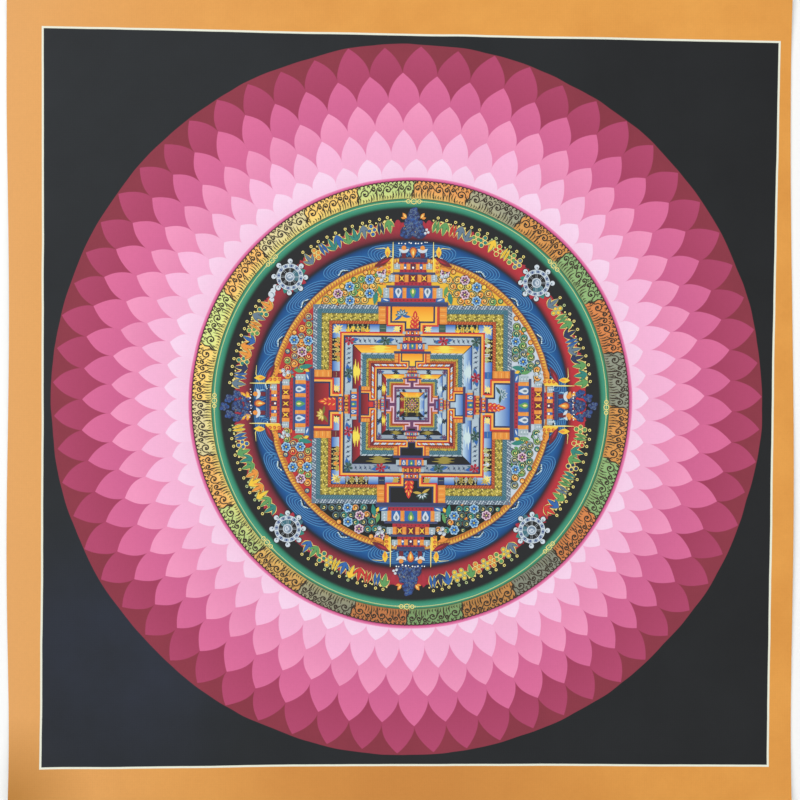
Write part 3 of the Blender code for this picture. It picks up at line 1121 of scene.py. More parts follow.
for k in range(WAVES):
    clock_degrees = (k + 0.5) * 360 / WAVES + hand.uniform(-1.2, 1.2)
    wave(on_ring(WATER_FOOT, clock_degrees), 1 if clock_degrees % 180 < 90 else -1)
print("waves:", WAVES)

# %% The orange cord
CORD_MIDDLE = 88.7
CORD_PITCH = 1.9
cord_turns = round(2 * math.pi * CORD_MIDDLE / CORD_PITCH)
for k in range(cord_turns):
    turn_of_cord = on_ring(CORD_MIDDLE, k * 360 / cord_turns)
    dab("yellow_ochre", 0, turn_of_cord, (0.0, -0.6), (0.5, 1.5), 0.8)
    line("burnt_red", 1, turn_of_cord, [(0.2, -1.7), (0.6, -0.1), (1.0, 1.5)], 0.42)
print("strokes in the rings:", len(strokes))

# %% [markdown]
# ## The gardens and the palace
# Inside the cord lie four gardens of flowers and a palace drawn as a plan: square bands like
# courtyard walls, a gate shaped like a T in the middle of each side, and over each gate a tower of
# stacked roofs.  The palace holds a second one half its size, and that holds a third, so one set of
# measures serves all three.

# %% The palace's plan, in millimetres of the largest palace
PALACE = Spot(7.5, -2.9, math.radians(0.5))
PALACE_HALF = 62.7
WALL = 43.9
GATE_TOP = 61.8
GATE_FLOOR = 50.9
GATE_HALF = 14.6
STEM_HALF = 5.5

# The three palaces.  Edges are the half widths at which silver net, teal net, scrollwork, rope and
# cells start, and where cells end.  Walks are where the flower walk starts and ends, and where the
# walk in the quarter's colour ends.  The net has a ground and a thread.  A line of the wall has a
# pigment, a place off the wall's middle and a width.  Only the large palace has its small marks.
PALACES = (
    {
        "size": 1.0,
        "fine": True,
        "coarseness": 1.0,
        "edges": (62.7, 59.9, 57.3, 52.5, 50.6, 44.9),
        "net": ("slate_blue", "silver_white"),
        "scrolls": "drawn",
        "cells": "lamp_black",
        "drops": 0,
        "wall": (("vermilion", 1.2, 1.0), ("amber", 0.1, 1.25), ("indigo", -1.05, 1.05)),
        "walks": (42.8, 37.4, 32.4),
        "burst": {"along": 20.5, "size": 1.0, "height": 1.0},
    },
    {
        "size": 0.52,
        "fine": False,
        "coarseness": 1.5,
        "edges": (62.3, 60.5, 55.5, 52.8, 50.2, 44.9),
        "net": ("net_silver", "steel"),
        "scrolls": "scattered",
        "cells": "maroon",
        "drops": 13,
        "wall": (("vermilion", 1.3, 1.1), ("amber", 0.0, 1.6), ("indigo", -1.5, 1.4)),
        "walks": (41.6, 36.7, 31.6),
        "burst": {"along": 19.0, "size": 1.0, "height": 1.0},
        "flower_size": 0.95,
    },
    {
        "size": 0.263,
        "fine": False,
        "coarseness": 2.6,
        "edges": (61.6, 60.2, 54.4, 51.0, 49.0, 45.6),
        "net": ("net_silver", "steel"),
        "scrolls": "plain",
        "cells": "burnt_red",
        "drops": 0,
        "wall": (("burnt_red", 2.6, 1.6), ("pale_rose", 0.0, 3.4), ("plum", -4.1, 4.8)),
        "walks": (37.0, 29.6, 17.4),
        "burst": {"along": 13.0, "size": 0.8, "height": 1.1},
        "flower_size": 1.2,
    },
)

# What sets the four quarters apart, clockwise from the top.
QUARTERS = (
    {
        "wash": "amber_wash", "plain": "yellow_ochre", "burst": "lemon_yellow", "walk": "mist_blue",
        "stars": "pale_yellow", "buds": ("yellow_ochre", "yellow_ochre"), "pot": "slate_green",
        "lotus": ("deep_teal", "mist_blue"), "lotus_leaf": "cobalt",
        "garden_edge": "umber", "garden_rim": "pale_gold",
        "garden_leaves": ("leaf_green", "orange", "amber", "orange", "yellow_ochre"),
    },
    {
        "wash": "sky_wash", "plain": "mist_blue", "burst": "pale_cyan", "walk": "mist_blue",
        "stars": "pale_yellow", "buds": ("pale_gold", "silver_white"), "pot": "cobalt",
        "lotus": ("mist_blue", "deep_teal"), "lotus_leaf": "slate_green",
        "garden_edge": "lamp_black", "garden_rim": "pale_gold",
        "garden_leaves": ("leaf_green", "orange", "slate_blue", "malachite"),
    },
    {
        "wash": "lamp_black", "plain": "lamp_black", "burst": "old_gold", "walk": "shade_blue",
        "stars": "gold_ochre", "buds": ("steel", "old_gold"), "pot": "indigo",
        "lotus": ("slate_green", "silver_white"), "lotus_leaf": "gold_ochre",
        "garden_edge": "lamp_black", "garden_rim": "slate_blue",
        "garden_leaves": ("slate_green", "malachite", "orange", "slate_green"),
    },
    {
        "wash": "red_wash", "plain": "vermilion", "burst": "lemon_yellow", "walk": "mist_blue",
        "stars": "pale_yellow", "buds": ("gold_ochre", "orange"), "pot": "maroon",
        "lotus": ("gold_ochre", "pale_yellow"), "lotus_leaf": "olive",
        "garden_edge": "maroon", "garden_rim": "amber",
        "garden_leaves": ("orange", "leaf_green", "vermilion", "leaf_green", "slate_blue"),
    },
)
print("palaces' widths, mm:", [round(2 * PALACE_HALF * palace["size"], 1) for palace in PALACES])


def palace_side(quarter, size=1.0):
    """One side of a palace: up is outwards from its middle; 0 is the top and 1 the right."""
    return PALACE.child(0.0, 0.0, 90 * quarter, size)


def block(pigment, coat, spot, u, bottom, top, width):
    dab(pigment, coat, spot, (u, bottom), (u, top), width, "bar")


def square_band(pigment, coat, spot, reach):
    """A band round a square, mitred at its corners."""
    half = sum(reach) / 2
    corners = [(-half, half), (half, half), (half, -half), (-half, -half)]
    stroke(pigment, coat, spot, corners, reach[0] - reach[1], closed=True)


def quarter_band(pigment, coat, side, reach):
    """One side of such a band alone, cut along the diagonals."""
    outer, inner = reach
    stroke(pigment, coat, side, [(0.0, outer), (0.0, inner)], [2 * outer, 2 * inner])


def hatch(pigment, coat, side, reach, pitch, lean, width):
    """Slanting lines along one side of a band."""
    outer, inner = reach
    for k in range(round(2 * inner / pitch)):
        u = -inner + k * pitch
        line(pigment, coat, side, [(u, inner + 0.2), (u + lean, outer - 0.2)], width)


def scatter(pigment, coat, side, reach, number, length, width):
    """Short dabs at random angles along one side of a band."""
    outer, inner = reach
    for _ in range(number):
        v = hand.uniform(inner + 0.5, outer - 0.5)
        u = hand.uniform(-v, v)
        turn = hand.uniform(0, math.pi)
        across, up = math.cos(turn) * length / 2, math.sin(turn) * length / 2
        line(pigment, coat, side, [(u - across, v - up), (u, v + 0.15), (u + across, v + up)], width)


def starburst(pigment, coat, spot, size):
    """Eight rays, long and short by turns."""
    for k in range(8):
        reach = size * (1.0 if k % 2 else 0.75)
        dab(pigment, coat, spot.child(0, 0, 45 * k + 10), (0, -0.3 * size), (0, reach), size * 0.3)


# %% The bands of netting, scrollwork and rope
BAND_GROUNDS = ("deep_teal", "olive", "burnt_red")
NET_PITCH = 1.75
SCROLL_PITCH = 3.0
SCATTERED_SCROLLS = 190
SCROLL_LEAVES = ((-1.5, -1.2), (1.4, 1.3), (0.1, 1.75), (-0.4, -1.8))


def scrollwork(side, reach):
    """Gold scrolls that roll up and down by turns, with small leaves between them."""
    outer, inner = reach
    middle, radius = (outer + inner) / 2, (outer - inner) * 0.29
    count = round(2 * middle / SCROLL_PITCH)
    for k in range(count):
        u, way = (k + 0.5 - count / 2) * SCROLL_PITCH, (-1) ** k
        v = middle - 0.35 * way
        roll = arc(u, v, radius, 90 - 90 * way, 90 - 90 * way + 330, 9, 0.35)
        line("yellow_gold", 1, side, [(u - 1.9, middle + 1.1 * way)] + roll, 0.72)
        dot("pale_yellow", 2, side, u, v, 0.7)
        for shift, height in SCROLL_LEAVES:
            leaf = side.child(u + shift, middle + height * way, hand.uniform(0, 360))
            dab("yellow_gold" if height < 1.5 else "pale_yellow", 1, leaf, (0, -0.7), (0, 0.8), 0.75)


def silver_net(side, palace, reach):
    """Slanting silver threads with a bead or a gap on each."""
    outer, inner = reach
    coarse = palace["coarseness"]
    pitch = NET_PITCH * coarse
    hatch(palace["net"][1], 1, side, reach, pitch, pitch, 0.86 * coarse)
    for k in range(round(2 * inner / pitch)):
        u = -inner + (k + 0.9) * pitch
        for share in (0.25, 0.75):
            height = inner + (outer - inner) * share
            dot("silver_white" if k % 3 else "indigo", 2, side, u + pitch * share, height, 0.7 * coarse)


def net_bands(palace):
    """Silver and teal netting, gold scrollwork on olive, and a twisted red rope."""
    edges, coarse = palace["edges"], palace["coarseness"]
    bands = list(zip(edges, edges[1:]))
    for ground, band in zip((palace["net"][0], *BAND_GROUNDS), bands):
        square_band(ground, 0, palace_side(0, palace["size"]), band)
    silver, teal, scrolls, rope = bands[:4]
    for quarter in range(4):
        side = palace_side(quarter, palace["size"])
        silver_net(side, palace, silver)
        hatch("pale_teal", 1, side, teal, 1.5 * coarse, 1.7 * coarse, 0.42 * coarse)
        hatch("navy", 2, side, (teal[0], teal[1] - 0.2), 1.5 * coarse, -0.2 * coarse, 0.32 * coarse)
        hatch("orange", 1, side, rope, 1.6 * coarse, 1.1 * coarse, 0.6 * coarse)
        if palace["scrolls"] == "drawn":
            scrollwork(side, scrolls)
        elif palace["scrolls"] == "scattered":
            scatter("yellow_gold", 1, side, scrolls, SCATTERED_SCROLLS, 2.5, 0.8)
        elif palace["scrolls"] == "plain":
            quarter_band("yellow_gold", 1, side, (scrolls[0] - 0.6, scrolls[1] + 0.6))


# %% The band of cells next to the wall
SKY_PANELS = ((41.6, 49.8), (20.8, 27.0), (8.2, 16.6))
STARS_ALONG = (9.8, 46.6)
CELL_BUDS = ("lotus", "leaves", "jewels", "hanging", "lotus")
CELL_BUD_START = 28.4
CELL_BUD_PITCH = 3.0
POT_ALONG = 18.7
DROP_START = 9.0
DROP_PITCH = 2.9


def sky_cells(side, colours, outer, inner):
    """Panels of sky between stars, jewel buds and a pot, the same both ways from the gate."""
    middle = (outer + inner) / 2
    for half in side.both_ways():
        for start, end in SKY_PANELS:
            along = (start + end) / 2
            stroke("sky_wash", 1, half, [(along, outer - 0.3), (along, inner)], end - start)
        for along in STARS_ALONG:
            starburst(colours["stars"], 2, half.child(along, middle), 3.4)
        for k, kind in enumerate(CELL_BUDS):
            lean = half.flip * hand.uniform(-8, 8)
            bud = half.child(CELL_BUD_START + CELL_BUD_PITCH * k, middle, lean, 0.5)
            jewel_bud(bud, kind, colours["buds"][k % 2])
        block(colours["pot"], 3, half, POT_ALONG, middle - 2.4, middle + 2.4, 4.2)
        rim = 1.6 * half.flip
        line("pale_gold", 4, half, [(POT_ALONG - rim, middle), (POT_ALONG + rim, middle)], 0.4)


def cell_band(palace):
    """Sky with gold buds in the large palace, and in a small one garlands of drops or a plain band."""
    outer, inner = palace["edges"][4:]
    square_band(palace["cells"], 0, palace_side(0, palace["size"]), (outer, inner))
    for quarter, colours in enumerate(QUARTERS):
        side = palace_side(quarter, palace["size"])
        for k in range(palace["drops"]):
            for half in side.both_ways():
                drop = half.child(DROP_START + DROP_PITCH * k, (outer + inner) / 2, 62)
                dab("orange" if k % 3 == 1 else "silver_white", 2, drop, (0, -2.1), (0, 2.4), 2.0)
        if palace["fine"]:
            sky_cells(side, colours, outer, inner)


# %% The wall and the flower walk inside it
BURST_REACHES = (3.0, 6.4, 3.8, 7.4, 4.0)
WALK_FLOWERS = (-39.7, -17.2, 19.4)
SMALL_WALK_FLOWERS = (-20.0, 20.0)
WALK_LEAVES = (-34, -31, -28, -24.5, -11, 13, 25, 28, 31, 34)


def wall(palace):
    """The wall's three lines run round each corner and turn out at the gates."""
    for quarter in range(4):
        side = palace_side(quarter, palace["size"])
        for coat, (pigment, off, width) in enumerate(palace["wall"], 4):
            out, floor, stem, face = GATE_HALF + off, GATE_FLOOR - off, STEM_HALF + off, WALL + off
            half_path = [(out, GATE_TOP), (out, floor), (stem, floor), (stem, face)]
            path = half_path + [(face, face)] + [(v, u) for u, v in reversed(half_path)]
            stroke(pigment, coat, side, path, width)


def pinwheel(spot, colour):
    """A six-petalled flower over two blue leaves."""
    for way in (-1, 1):
        dab("cobalt", 1, spot, (0, 0), (5.8 * way, 0.9 * way), 2.6)
        dab("deep_teal", 1, spot, (0, 0), (4.6 * way, -1.6), 1.4)
    for petal in range(6):
        dab(colour, 2, spot.child(0, 0, 60 * petal), (0, 0.3), (0.8, 3.1), 1.8, "petal")
    dot("lamp_black", 3, spot, 0, 0, 1.0)


def sunburst(pigment, spot, height):
    """A jagged patch of light across a walk: tongues that reach along it, long and short by turns."""
    for half in spot.both_ways():
        for k, length in enumerate(BURST_REACHES):
            v = height * (k - 2) / 5.2
            reach = length + hand.uniform(-1.0, 1.0)
            dab(pigment, 2, half, (-0.8, v * 0.9), (reach, v), 1.4, "tongue")


def walk_flowers(side, quarter, middle):
    """Three pinwheel flowers and small leaves between them along one side of the large palace."""
    for k, u in enumerate(WALK_FLOWERS):
        red = (3 * quarter + k) % 2 == 0
        pinwheel(side.child(u, middle), "crimson" if red else "slate_green")
    for u in WALK_LEAVES:
        dab("slate_blue", 1, side, (u, middle + 1.6), (u + 1.9, middle - 1.8), 0.9)
        dab("indigo", 1, side, (u + 0.4, middle - 0.9), (u + 1.8, middle + 0.7), 0.7)


def flower_walk(palace):
    """A pale walk with pinwheel flowers, and inside it a walk in the colour of each quarter."""
    outer, between, inner = palace["walks"]
    middle, burst, size = (outer + between) / 2, palace["burst"], palace["size"]
    for quarter, colours in enumerate(QUARTERS):
        side = palace_side(quarter, size)
        quarter_band(colours["wash"], 0, side, (between, inner))
        stroke("lamp_black", 2, side, [(-between, between), (-inner, inner)], 0.4 / size)
        stroke("indigo", 1, side, [(-between, between + 0.1), (between, between + 0.1)], 0.5)
        quarter_band(colours["walk"], 0, side, (outer, between))
        for half in side.both_ways():
            spot = half.child(burst["along"], (between + inner) / 2, 0.0, burst["size"])
            sunburst(colours["burst"], spot, (between - inner - 0.4) * burst["height"])
        if palace["fine"]:
            walk_flowers(side, quarter, middle)
        else:
            for k, u in enumerate((-middle, *SMALL_WALK_FLOWERS)):
                flower = side.child(u, middle, 30 * k, palace["flower_size"])
                pinwheel(flower, "lamp_black" if k else "plum")


# %% The gates
PILLAR_FOOT = 50.7
PILLAR_TOP = 62.3
GATE_JEWELS = ((46.6, 3.2), (49.3, 3.6), (52.0, 3.3), (54.6, 2.6))
LOTUS_TURNS = (-75, -38, 0, 38, 75)


def gate_jewels(side):
    """A stack of red jewels in the gate's stem, with a flame on top."""
    for v, wide in GATE_JEWELS:
        for way in (-1, 1):
            dot("vermilion", 5, side, 1.6 + way * wide * 0.42, v, wide)
            glint = [(1.6 + way * wide * share, v + rise) for share, rise in ((0.3, -0.9), (0.7, 0.8))]
            dab("amber", 6, side, *glint, 0.8)
    dab("vermilion", 5, side, (1.6, 54.0), (1.6, 59.2), 2.8)
    dab("amber", 6, side, (1.6, 54.6), (1.6, 57.8), 0.9)


def gate_lotus(spot, colours):
    """An open lotus in the gate's panel."""
    petal, heart = colours["lotus"]
    for turn in LOTUS_TURNS:
        dab(petal, 5, spot.child(0, 0, turn), (0, 0), (0, 4.2), 2.0)
        dab(heart, 6, spot.child(0, 0, turn), (0, 0.8), (0, 3.2), 0.8)
    for half in spot.both_ways():
        dab(colours["lotus_leaf"], 5, half, (0, -0.4), (5.4, -2.2), 1.7)


def gate(palace, quarter):
    """Two orange pillars and the panel between them, in the shape of a T."""
    side, colours = palace_side(quarter, palace["size"]), QUARTERS[quarter]
    for half in side.both_ways():
        block("orange", 3, half, 18.9, PILLAR_FOOT, PILLAR_TOP, 5.2)
        block("burnt_red", 4, half, 16.6, PILLAR_FOOT, PILLAR_TOP, 0.9)
        for v in (51.3, 54.2, 58.1, 61.2):
            line("burnt_red", 4, half, [(16.8, v), (21.4, v)], 0.4 / palace["size"]**0.5)
        for v in (52.8, 56.2, 59.8):
            line("pale_yellow", 4, half, [(17.4, v), (20.4, v)], 0.5)
    panel = [(0.0, GATE_TOP + 0.4), (0.0, GATE_FLOOR + 0.6)]
    stroke(colours["wash"], 3, side, panel, 2 * GATE_HALF)
    block(colours["plain"], 4, side, 0.0, WALL - 1.5, GATE_FLOOR + 1.0, 2 * STEM_HALF - 1.8)
    if palace["fine"]:
        gate_jewels(side)
        gate_lotus(side.child(-6.8, 56.2, -12), colours)


# %% The towers over the gates
TOWER_ROOFS = ((61.7, 64.6, 22.3), (73.5, 75.0, 16.8), (81.8, 83.3, 14.0), (89.6, 92.1, 8.8))
TOWER_FRIEZES = ((64.6, 66.9, 14.4), (75.0, 77.1, 11.6), (83.3, 85.0, 8.4), (88.6, 89.8, 8.6))
TOWER_TIERS = (
    {"from": 66.9, "to": 73.5, "half": 14.8, "ground": "cobalt", "motifs": "flames"},
    {"from": 77.1, "to": 81.8, "half": 11.4, "ground": "maroon", "motifs": "crossings"},
    {"from": 85.0, "to": 88.7, "half": 8.2, "ground": "indigo", "motifs": "niches"},
)
STUD_PITCH = 2.4
INNER_PILLAR_SHARE = 0.36
MOTIF_SHARE = 0.62


def tier_pillars(half, tier, fine):
    """The grey screen at one end of a storey and the two pillars beside it."""
    bottom, top, end = tier["from"], tier["to"], tier["half"]
    pillars = (end - 1.2, end * INNER_PILLAR_SHARE)
    block("net_silver", 6, half, end + 1.9, bottom + 0.2, top - 0.2, 3.8)
    for u in pillars:
        block("orange", 7, half, u, bottom, top, 2.5)
    if not fine:
        return
    for k in range(3):
        height = bottom + (k + 0.7) * (top - bottom) / 3.4
        line("slate_blue", 7, half, [(end + 0.5, height), (end + 3.4, height + 0.8)], 0.4)
        dot("silver_white", 7, half, end + 1.9, height + 0.9, 1.1)
    for u in pillars:
        left, right = (u - half.flip, top - 1.4), (u + half.flip, top - 1.4)
        edge = u - 0.9 * half.flip
        line("burnt_red", 8, half, [(edge, bottom + 1), (edge, top - 1)], 0.4)
        line("pale_yellow", 8, half, [left, right], 0.4)


def tier_motif(side, tier, u):
    """What stands between the pillars: a flame, two crossed wands or a niche with a jewel."""
    bottom, top, motifs = tier["from"], tier["to"], tier["motifs"]
    middle = (bottom + top) / 2
    if motifs == "flames":
        outside, inside = ("silver_white", "slate_blue") if u else ("leaf_green", "pale_yellow")
        dab(outside, 7, side, (u, bottom + 0.4), (u, top - 0.3), 4.0, "petal")
        dab(inside, 8, side, (u, middle - 0.6), (u, top - 0.8), 1.5)
    elif motifs == "crossings":
        for way in (-1, 1):
            foot, tip = (u - 1.4 * way, bottom + 0.6), (u + 1.4 * way, top - 0.5)
            dab("yellow_ochre", 8, side, foot, tip, 0.9)
    elif motifs == "niches":
        block("cobalt" if u else "maroon", 7, side, u, bottom + 0.3, top - 0.3, 2.0)
        dot("chalk_white", 8, side, u, bottom + 1.2, 1.3)


def tower(palace, quarter):
    """Roofs, friezes and rows of pillars, stacked and stepped in over a gate."""
    side, fine = palace_side(quarter, palace["size"]), palace["fine"]
    for bottom, top, half_width in TOWER_ROOFS:
        block("roof_blue", 8, side, 0.0, bottom, top, 2 * half_width)
        if fine:
            shine = [(-half_width + 0.6, top - 0.5), (half_width - 0.6, top - 0.5)]
            line("slate_blue", 9, side, shine, 0.4)
    for bottom, top, half_width in TOWER_FRIEZES:
        block("crimson", 7, side, 0.0, bottom, top, 2 * half_width)
        for k in range(int(half_width * 2 / STUD_PITCH) if fine else 0):
            u = -half_width + 1.5 + STUD_PITCH * k
            dot("maroon", 8, side, u, (bottom + top) / 2, 0.9)
    for tier in TOWER_TIERS:
        block(tier["ground"], 6, side, 0.0, tier["from"], tier["to"], 2 * tier["half"])
        for half in side.both_ways():
            tier_pillars(half, tier, fine)
        for u in (-tier["half"] * MOTIF_SHARE, 0.0, tier["half"] * MOTIF_SHARE):
            tier_motif(side, tier, u)


# %% What stands on and beside the large towers
BANNER_JEWELS = (83.6, 86.4, 89.2)  # Their curls, and the clouds', turn clockwise on both sides.
CLOUD_PUFFS = ((19.8, 78.0), (18.3, 80.4), (20.8, 81.2))


def crown_jewel(side):
    """A tall orange jewel on the middle of the top roof."""
    dab("burnt_red", 9, side, (0.0, 92.3), (0.0, 99.2), 4.6, "petal")
    dab("orange", 10, side, (0.0, 92.6), (0.0, 98.4), 3.3, "petal")
    dab("pale_yellow", 11, side, (0.0, 94.0), (0.0, 97.2), 1.1)


def crown_pot(half):
    """A pot of white leaves with an orange jewel over them."""
    dab("maroon", 9, half, (5.9, 92.3), (5.9, 97.0), 2.6, "bar")
    for turn in (-50, 0, 50):
        dab("silver_white", 9, half.child(5.9, 95.4, turn * half.flip), (0, 0), (0, 4.2), 1.9)
    dot("orange", 10, half, 5.9, 98.6, 3.0)
    dab("pale_blue", 9, half, (8.6, 92.6), (8.0, 97.0), 0.9)


def crown_banner(half):
    """A pole with a gold banner, its jewels, and the red and gold cloths that fly from it."""
    line("pale_yellow", 10, half, [(12.7, 83.4), (12.7, 96.0), (12.7, 102.3)], 0.85)
    dab("yellow_ochre", 8, half, (14.6, 82.6), (14.9, 92.0), 3.7, "bar")
    for v in BANNER_JEWELS:
        dot("orange", 9, half, 15.2, v, 2.5)
        line("burnt_red", 10, half, arc(15.2, v, 0.8, 0, 300 * half.flip, 6), 0.35)
    dab("maroon", 9, half, (13.6, 92.4), (24.5, 86.6), 3.6)
    dab("crimson", 10, half, (14.4, 91.6), (21.0, 88.4), 1.2)
    dab("orange", 9, half, (17.0, 86.2), (23.6, 84.0), 2.4)
    dab("yellow_ochre", 10, half, (16.2, 92.4), (16.0, 99.4), 3.4)
    dab("orange", 11, half, (16.2, 93.2), (16.2, 96.6), 1.5)
    line("pale_yellow", 9, half, [(13.4, 96.0), (18.4, 98.4), (24.0, 98.0)], 0.5)


def tower_foot(half):
    """Leaves and a blue plinth at the tower's foot, and a white cloud beside its roofs."""
    block("cobalt", 7, half, 17.3, 64.6, 67.0, 5.6)
    dab("silver_white", 8, half, (15.2, 65.2), (18.8, 66.4), 1.0)
    dab("yellow_ochre", 8, half, (20.4, 64.8), (21.6, 67.8), 2.0)
    dab("malachite", 7, half, (24.2, 62.8), (22.8, 71.0), 3.0)
    dab("leaf_green", 7, half, (20.0, 68.4), (21.6, 74.6), 2.4)
    for u, v in CLOUD_PUFFS:
        dot("silver_white", 7, half, u, v, 2.6)
        line("slate_blue", 8, half, arc(u, v, 0.8, 40 * half.flip, 260 * half.flip, 5), 0.4)


for palace in PALACES:
    net_bands(palace)
    cell_band(palace)
    wall(palace)
    flower_walk(palace)
    for quarter in range(4):
        gate(palace, quarter)
        tower(palace, quarter)
for quarter in range(4):
    side = palace_side(quarter)
    crown_jewel(side)
    for half in side.both_ways():
        crown_pot(half)
        crown_banner(half)
        tower_foot(half)
    for u in range(-9, 10, 2):
        across, up = u + hand.uniform(-0.5, 0.5), 101.6 + hand.uniform(-0.5, 0.6)
        dot("chalk_white", 9, side, across, up, hand.uniform(0.6, 1.0))
print("strokes with the palaces:", len(strokes))

# %% The flower of dots in the middle
CENTRE_HALF = 4.6
DOT_PITCH = 1.12
CENTRE_DOTS = ("pale_rose", "rose", "plum", "gold_ochre", "pale_gold")
CENTRE_RINGS_PER_DOT = 0.72

block("lamp_black", 1, PALACE, 0.0, -CENTRE_HALF, CENTRE_HALF, 2 * CENTRE_HALF)
for row in range(-4, 5):
    for column in range(-4, 5):
        ring = round(math.hypot(row, column) * CENTRE_RINGS_PER_DOT)
        pigment = "yellow_gold" if (row + column) % 2 else CENTRE_DOTS[ring]
        shift = hand.uniform(-0.12, 0.12)
        dot(pigment, 2, PALACE, column * DOT_PITCH + shift, row * DOT_PITCH - shift, 0.95)

# %% The flower gardens
GARDEN_ROWS = 5
GARDEN_PITCH = (5.0, 4.5)
GARDEN_REACH = 84.8
TOWER_STEPS = ((69.0, 25.4), (77.5, 20.6), (84.5, 17.2), (99.0, 19.5))
COLUMNS_EACH_WAY = 14


def rosette(spot, heart):
    """A six-petalled flower, pale outside and deep inside."""
    dot("lamp_black", 3, spot, 0, 0, 5.9)
    for k in range(6):
        petal = spot.child(0, 0, 60 * k + 15)
        dot("pale_blue" if heart == "cobalt" else "pale_rose", 4, petal, 0, 1.7, 2.3)
        dot(heart, 5, petal, 0, 1.4, 1.1)
        line("silver_white", 6, petal, [(-0.8, 2.2), (0, 2.7), (0.8, 2.2)], 0.35)
    dot("lamp_black", 5, spot, 0, 0, 1.7)
    dot("pale_yellow", 6, spot, 0, 0, 0.8)


def leaf_curl(spot, colours):
    """A coiled leaf with a dark edge and a light rim, and a small leaf at its side."""
    edge, leaves = colours["garden_edge"], colours["garden_leaves"]
    half = hand.choice(spot.both_ways())
    dab(edge, 0, half, (0.5, -0.4), (3.3, -2.2), 2.2)
    dab(hand.choice(leaves), 1, half, (0.5, -0.4), (3.0, -2.0), 1.5)
    dot(edge, 1, spot, 0, 0, 4.7)
    dot(colours["garden_rim"], 2, spot, 0, 0, 4.0)
    dot(hand.choice(leaves), 3, half, 0.1, 0, 3.5)
    line(edge, 4, half, arc(0, 0, 1.75, 40, -330, 10, 0.4), 0.42)
    line("pale_yellow", 4, half, arc(0, 0, 1.05, 40, -260, 8, 0.2), 0.34)


def in_garden(u, v):
    """Whether a flower's place on one side is clear of the tower and the cord."""
    beside_tower = next(half for top, half in TOWER_STEPS if v < top)
    return abs(u) >= beside_tower and v > PALACE_HALF + 1.4


def clear_of_cord(flower):
    """How far a place lies inside the gardens' round edge."""
    across, up = flower.x - DISC_CENTRE[0], flower.y - DISC_CENTRE[1]
    return egg_reach(GARDEN_REACH, math.atan2(across, up)) - math.hypot(across, up)


for quarter, colours in enumerate(QUARTERS):
    side, leaves = palace_side(quarter), colours["garden_leaves"]
    for row in range(GARDEN_ROWS):
        for column in range(-COLUMNS_EACH_WAY, COLUMNS_EACH_WAY + 1):
            u = (column + 0.5 * (row % 2)) * GARDEN_PITCH[0] + hand.uniform(-0.4, 0.4)
            v = PALACE_HALF + 2.6 + row * GARDEN_PITCH[1] + hand.uniform(-0.4, 0.4)
            flower = side.child(u, v, hand.uniform(-20, 20), 1.12)
            room = clear_of_cord(flower)
            if not in_garden(u, v) or room < -1.6:
                continue
            if room < 0.0:
                dot("lamp_black", 1, flower, 0, 0, 3.2)
                dot(hand.choice(leaves), 2, flower, 0, 0, 2.5)
                line("pale_yellow", 3, flower, arc(0, 0, 0.8, 0, 280, 6, 0.3), 0.34)
            elif (column + 2 * row) % 4 == 0:
                rosette(flower, "cobalt" if column % 8 < 4 else "plum")
            else:
                leaf_curl(flower, colours)
            for _ in range(2):
                leaf = flower.child(hand.uniform(-2.6, 2.6), hand.uniform(-2.6, 2.6), hand.uniform(0, 360))
                if room > 2.5:
                    dab(hand.choice(leaves), 0, leaf, (0, 0), (0, 2.8), 1.6)
print("strokes in all:", len(strokes))

# %% [markdown]
# ## From strokes to films of paint
# Every pigment becomes one piece: all its strokes are swept, then each coat is set at its own small
# height above the cloth.  Most pigments are one flat colour, as gouache is.  Three are washes that
# fade along the stroke, which the map that comes with a swept curve makes easy.

# %% The pigments
PIGMENTS = {
    "umber": "372C20", "lamp_black": "1C1D1F", "indigo": "2A3458", "navy": "34467C",
    "deep_blue": "204A82", "cobalt": "3064A8", "sky_blue": "4889BC", "roof_blue": "3A3F68",
    "pale_blue": "86B7D6", "mist_blue": "AEBFCA", "shade_blue": "94A1AE", "slate_blue": "64798A",
    "pale_cyan": "C9DEDF", "silver_white": "CBD5DC", "chalk_white": "F0F1EE", "steel": "8C9FB4",
    "net_silver": "A5B8BE", "deep_teal": "3F6E7C", "pale_teal": "93B4B6", "malachite": "2F8276",
    "leaf_green": "5E9A5B", "slate_green": "3C5A50", "olive": "756D32", "old_gold": "98893C",
    "gold_ochre": "BFA246", "yellow_gold": "C3B14A", "pale_gold": "B9C78A", "pale_yellow": "EFDD83",
    "lemon_yellow": "F0DA52", "yellow_ochre": "F0C53D", "amber": "F2B04A", "orange": "E5923C",
    "burnt_red": "A8492C", "vermilion": "CC3A33", "crimson": "A92C3C", "maroon": "6E2630",
    "rose": "C66F92", "pale_rose": "DDB8C6", "plum": "6B3F63",
}
WASHES = {
    "amber_wash": ("EE8E1E", "F6C544"),
    "sky_wash": ("2260B4", "B8D4E4"),
    "red_wash": ("5E1F24", "A82C34"),
}


def film_material(pigment):
    """Gouache: matt and even; a wash runs from one colour to another along its stroke."""
    material, tree = new_material("gouache_" + pigment)
    finish = {"Roughness": GOUACHE_ROUGHNESS, "Specular IOR Level": 0.3}
    if pigment in WASHES:
        along = add(tree, "UVMap", uv_map="UVMap")
        share = add(tree, "SeparateXYZ", {0: along})
        finish["Base Color"] = cover(tree, *WASHES[pigment], share)
    else:
        finish["Base Color"] = PIGMENTS[pigment]
    add(tree, "OutputMaterial", {"Surface": add(tree, "BsdfPrincipled", finish)})
    return material


print("pigments:", len(PIGMENTS), "and washes:", len(WASHES))

# %% Sweeping the strokes
NIB_STRETCH = 4.0
FILM_LIFT = 0.08
COAT_STEP = 0.05
HAIR = 0.003  # Strokes of one coat that cross lie this much apart, or they would flicker.
HAIRS_IN_A_COAT = 9


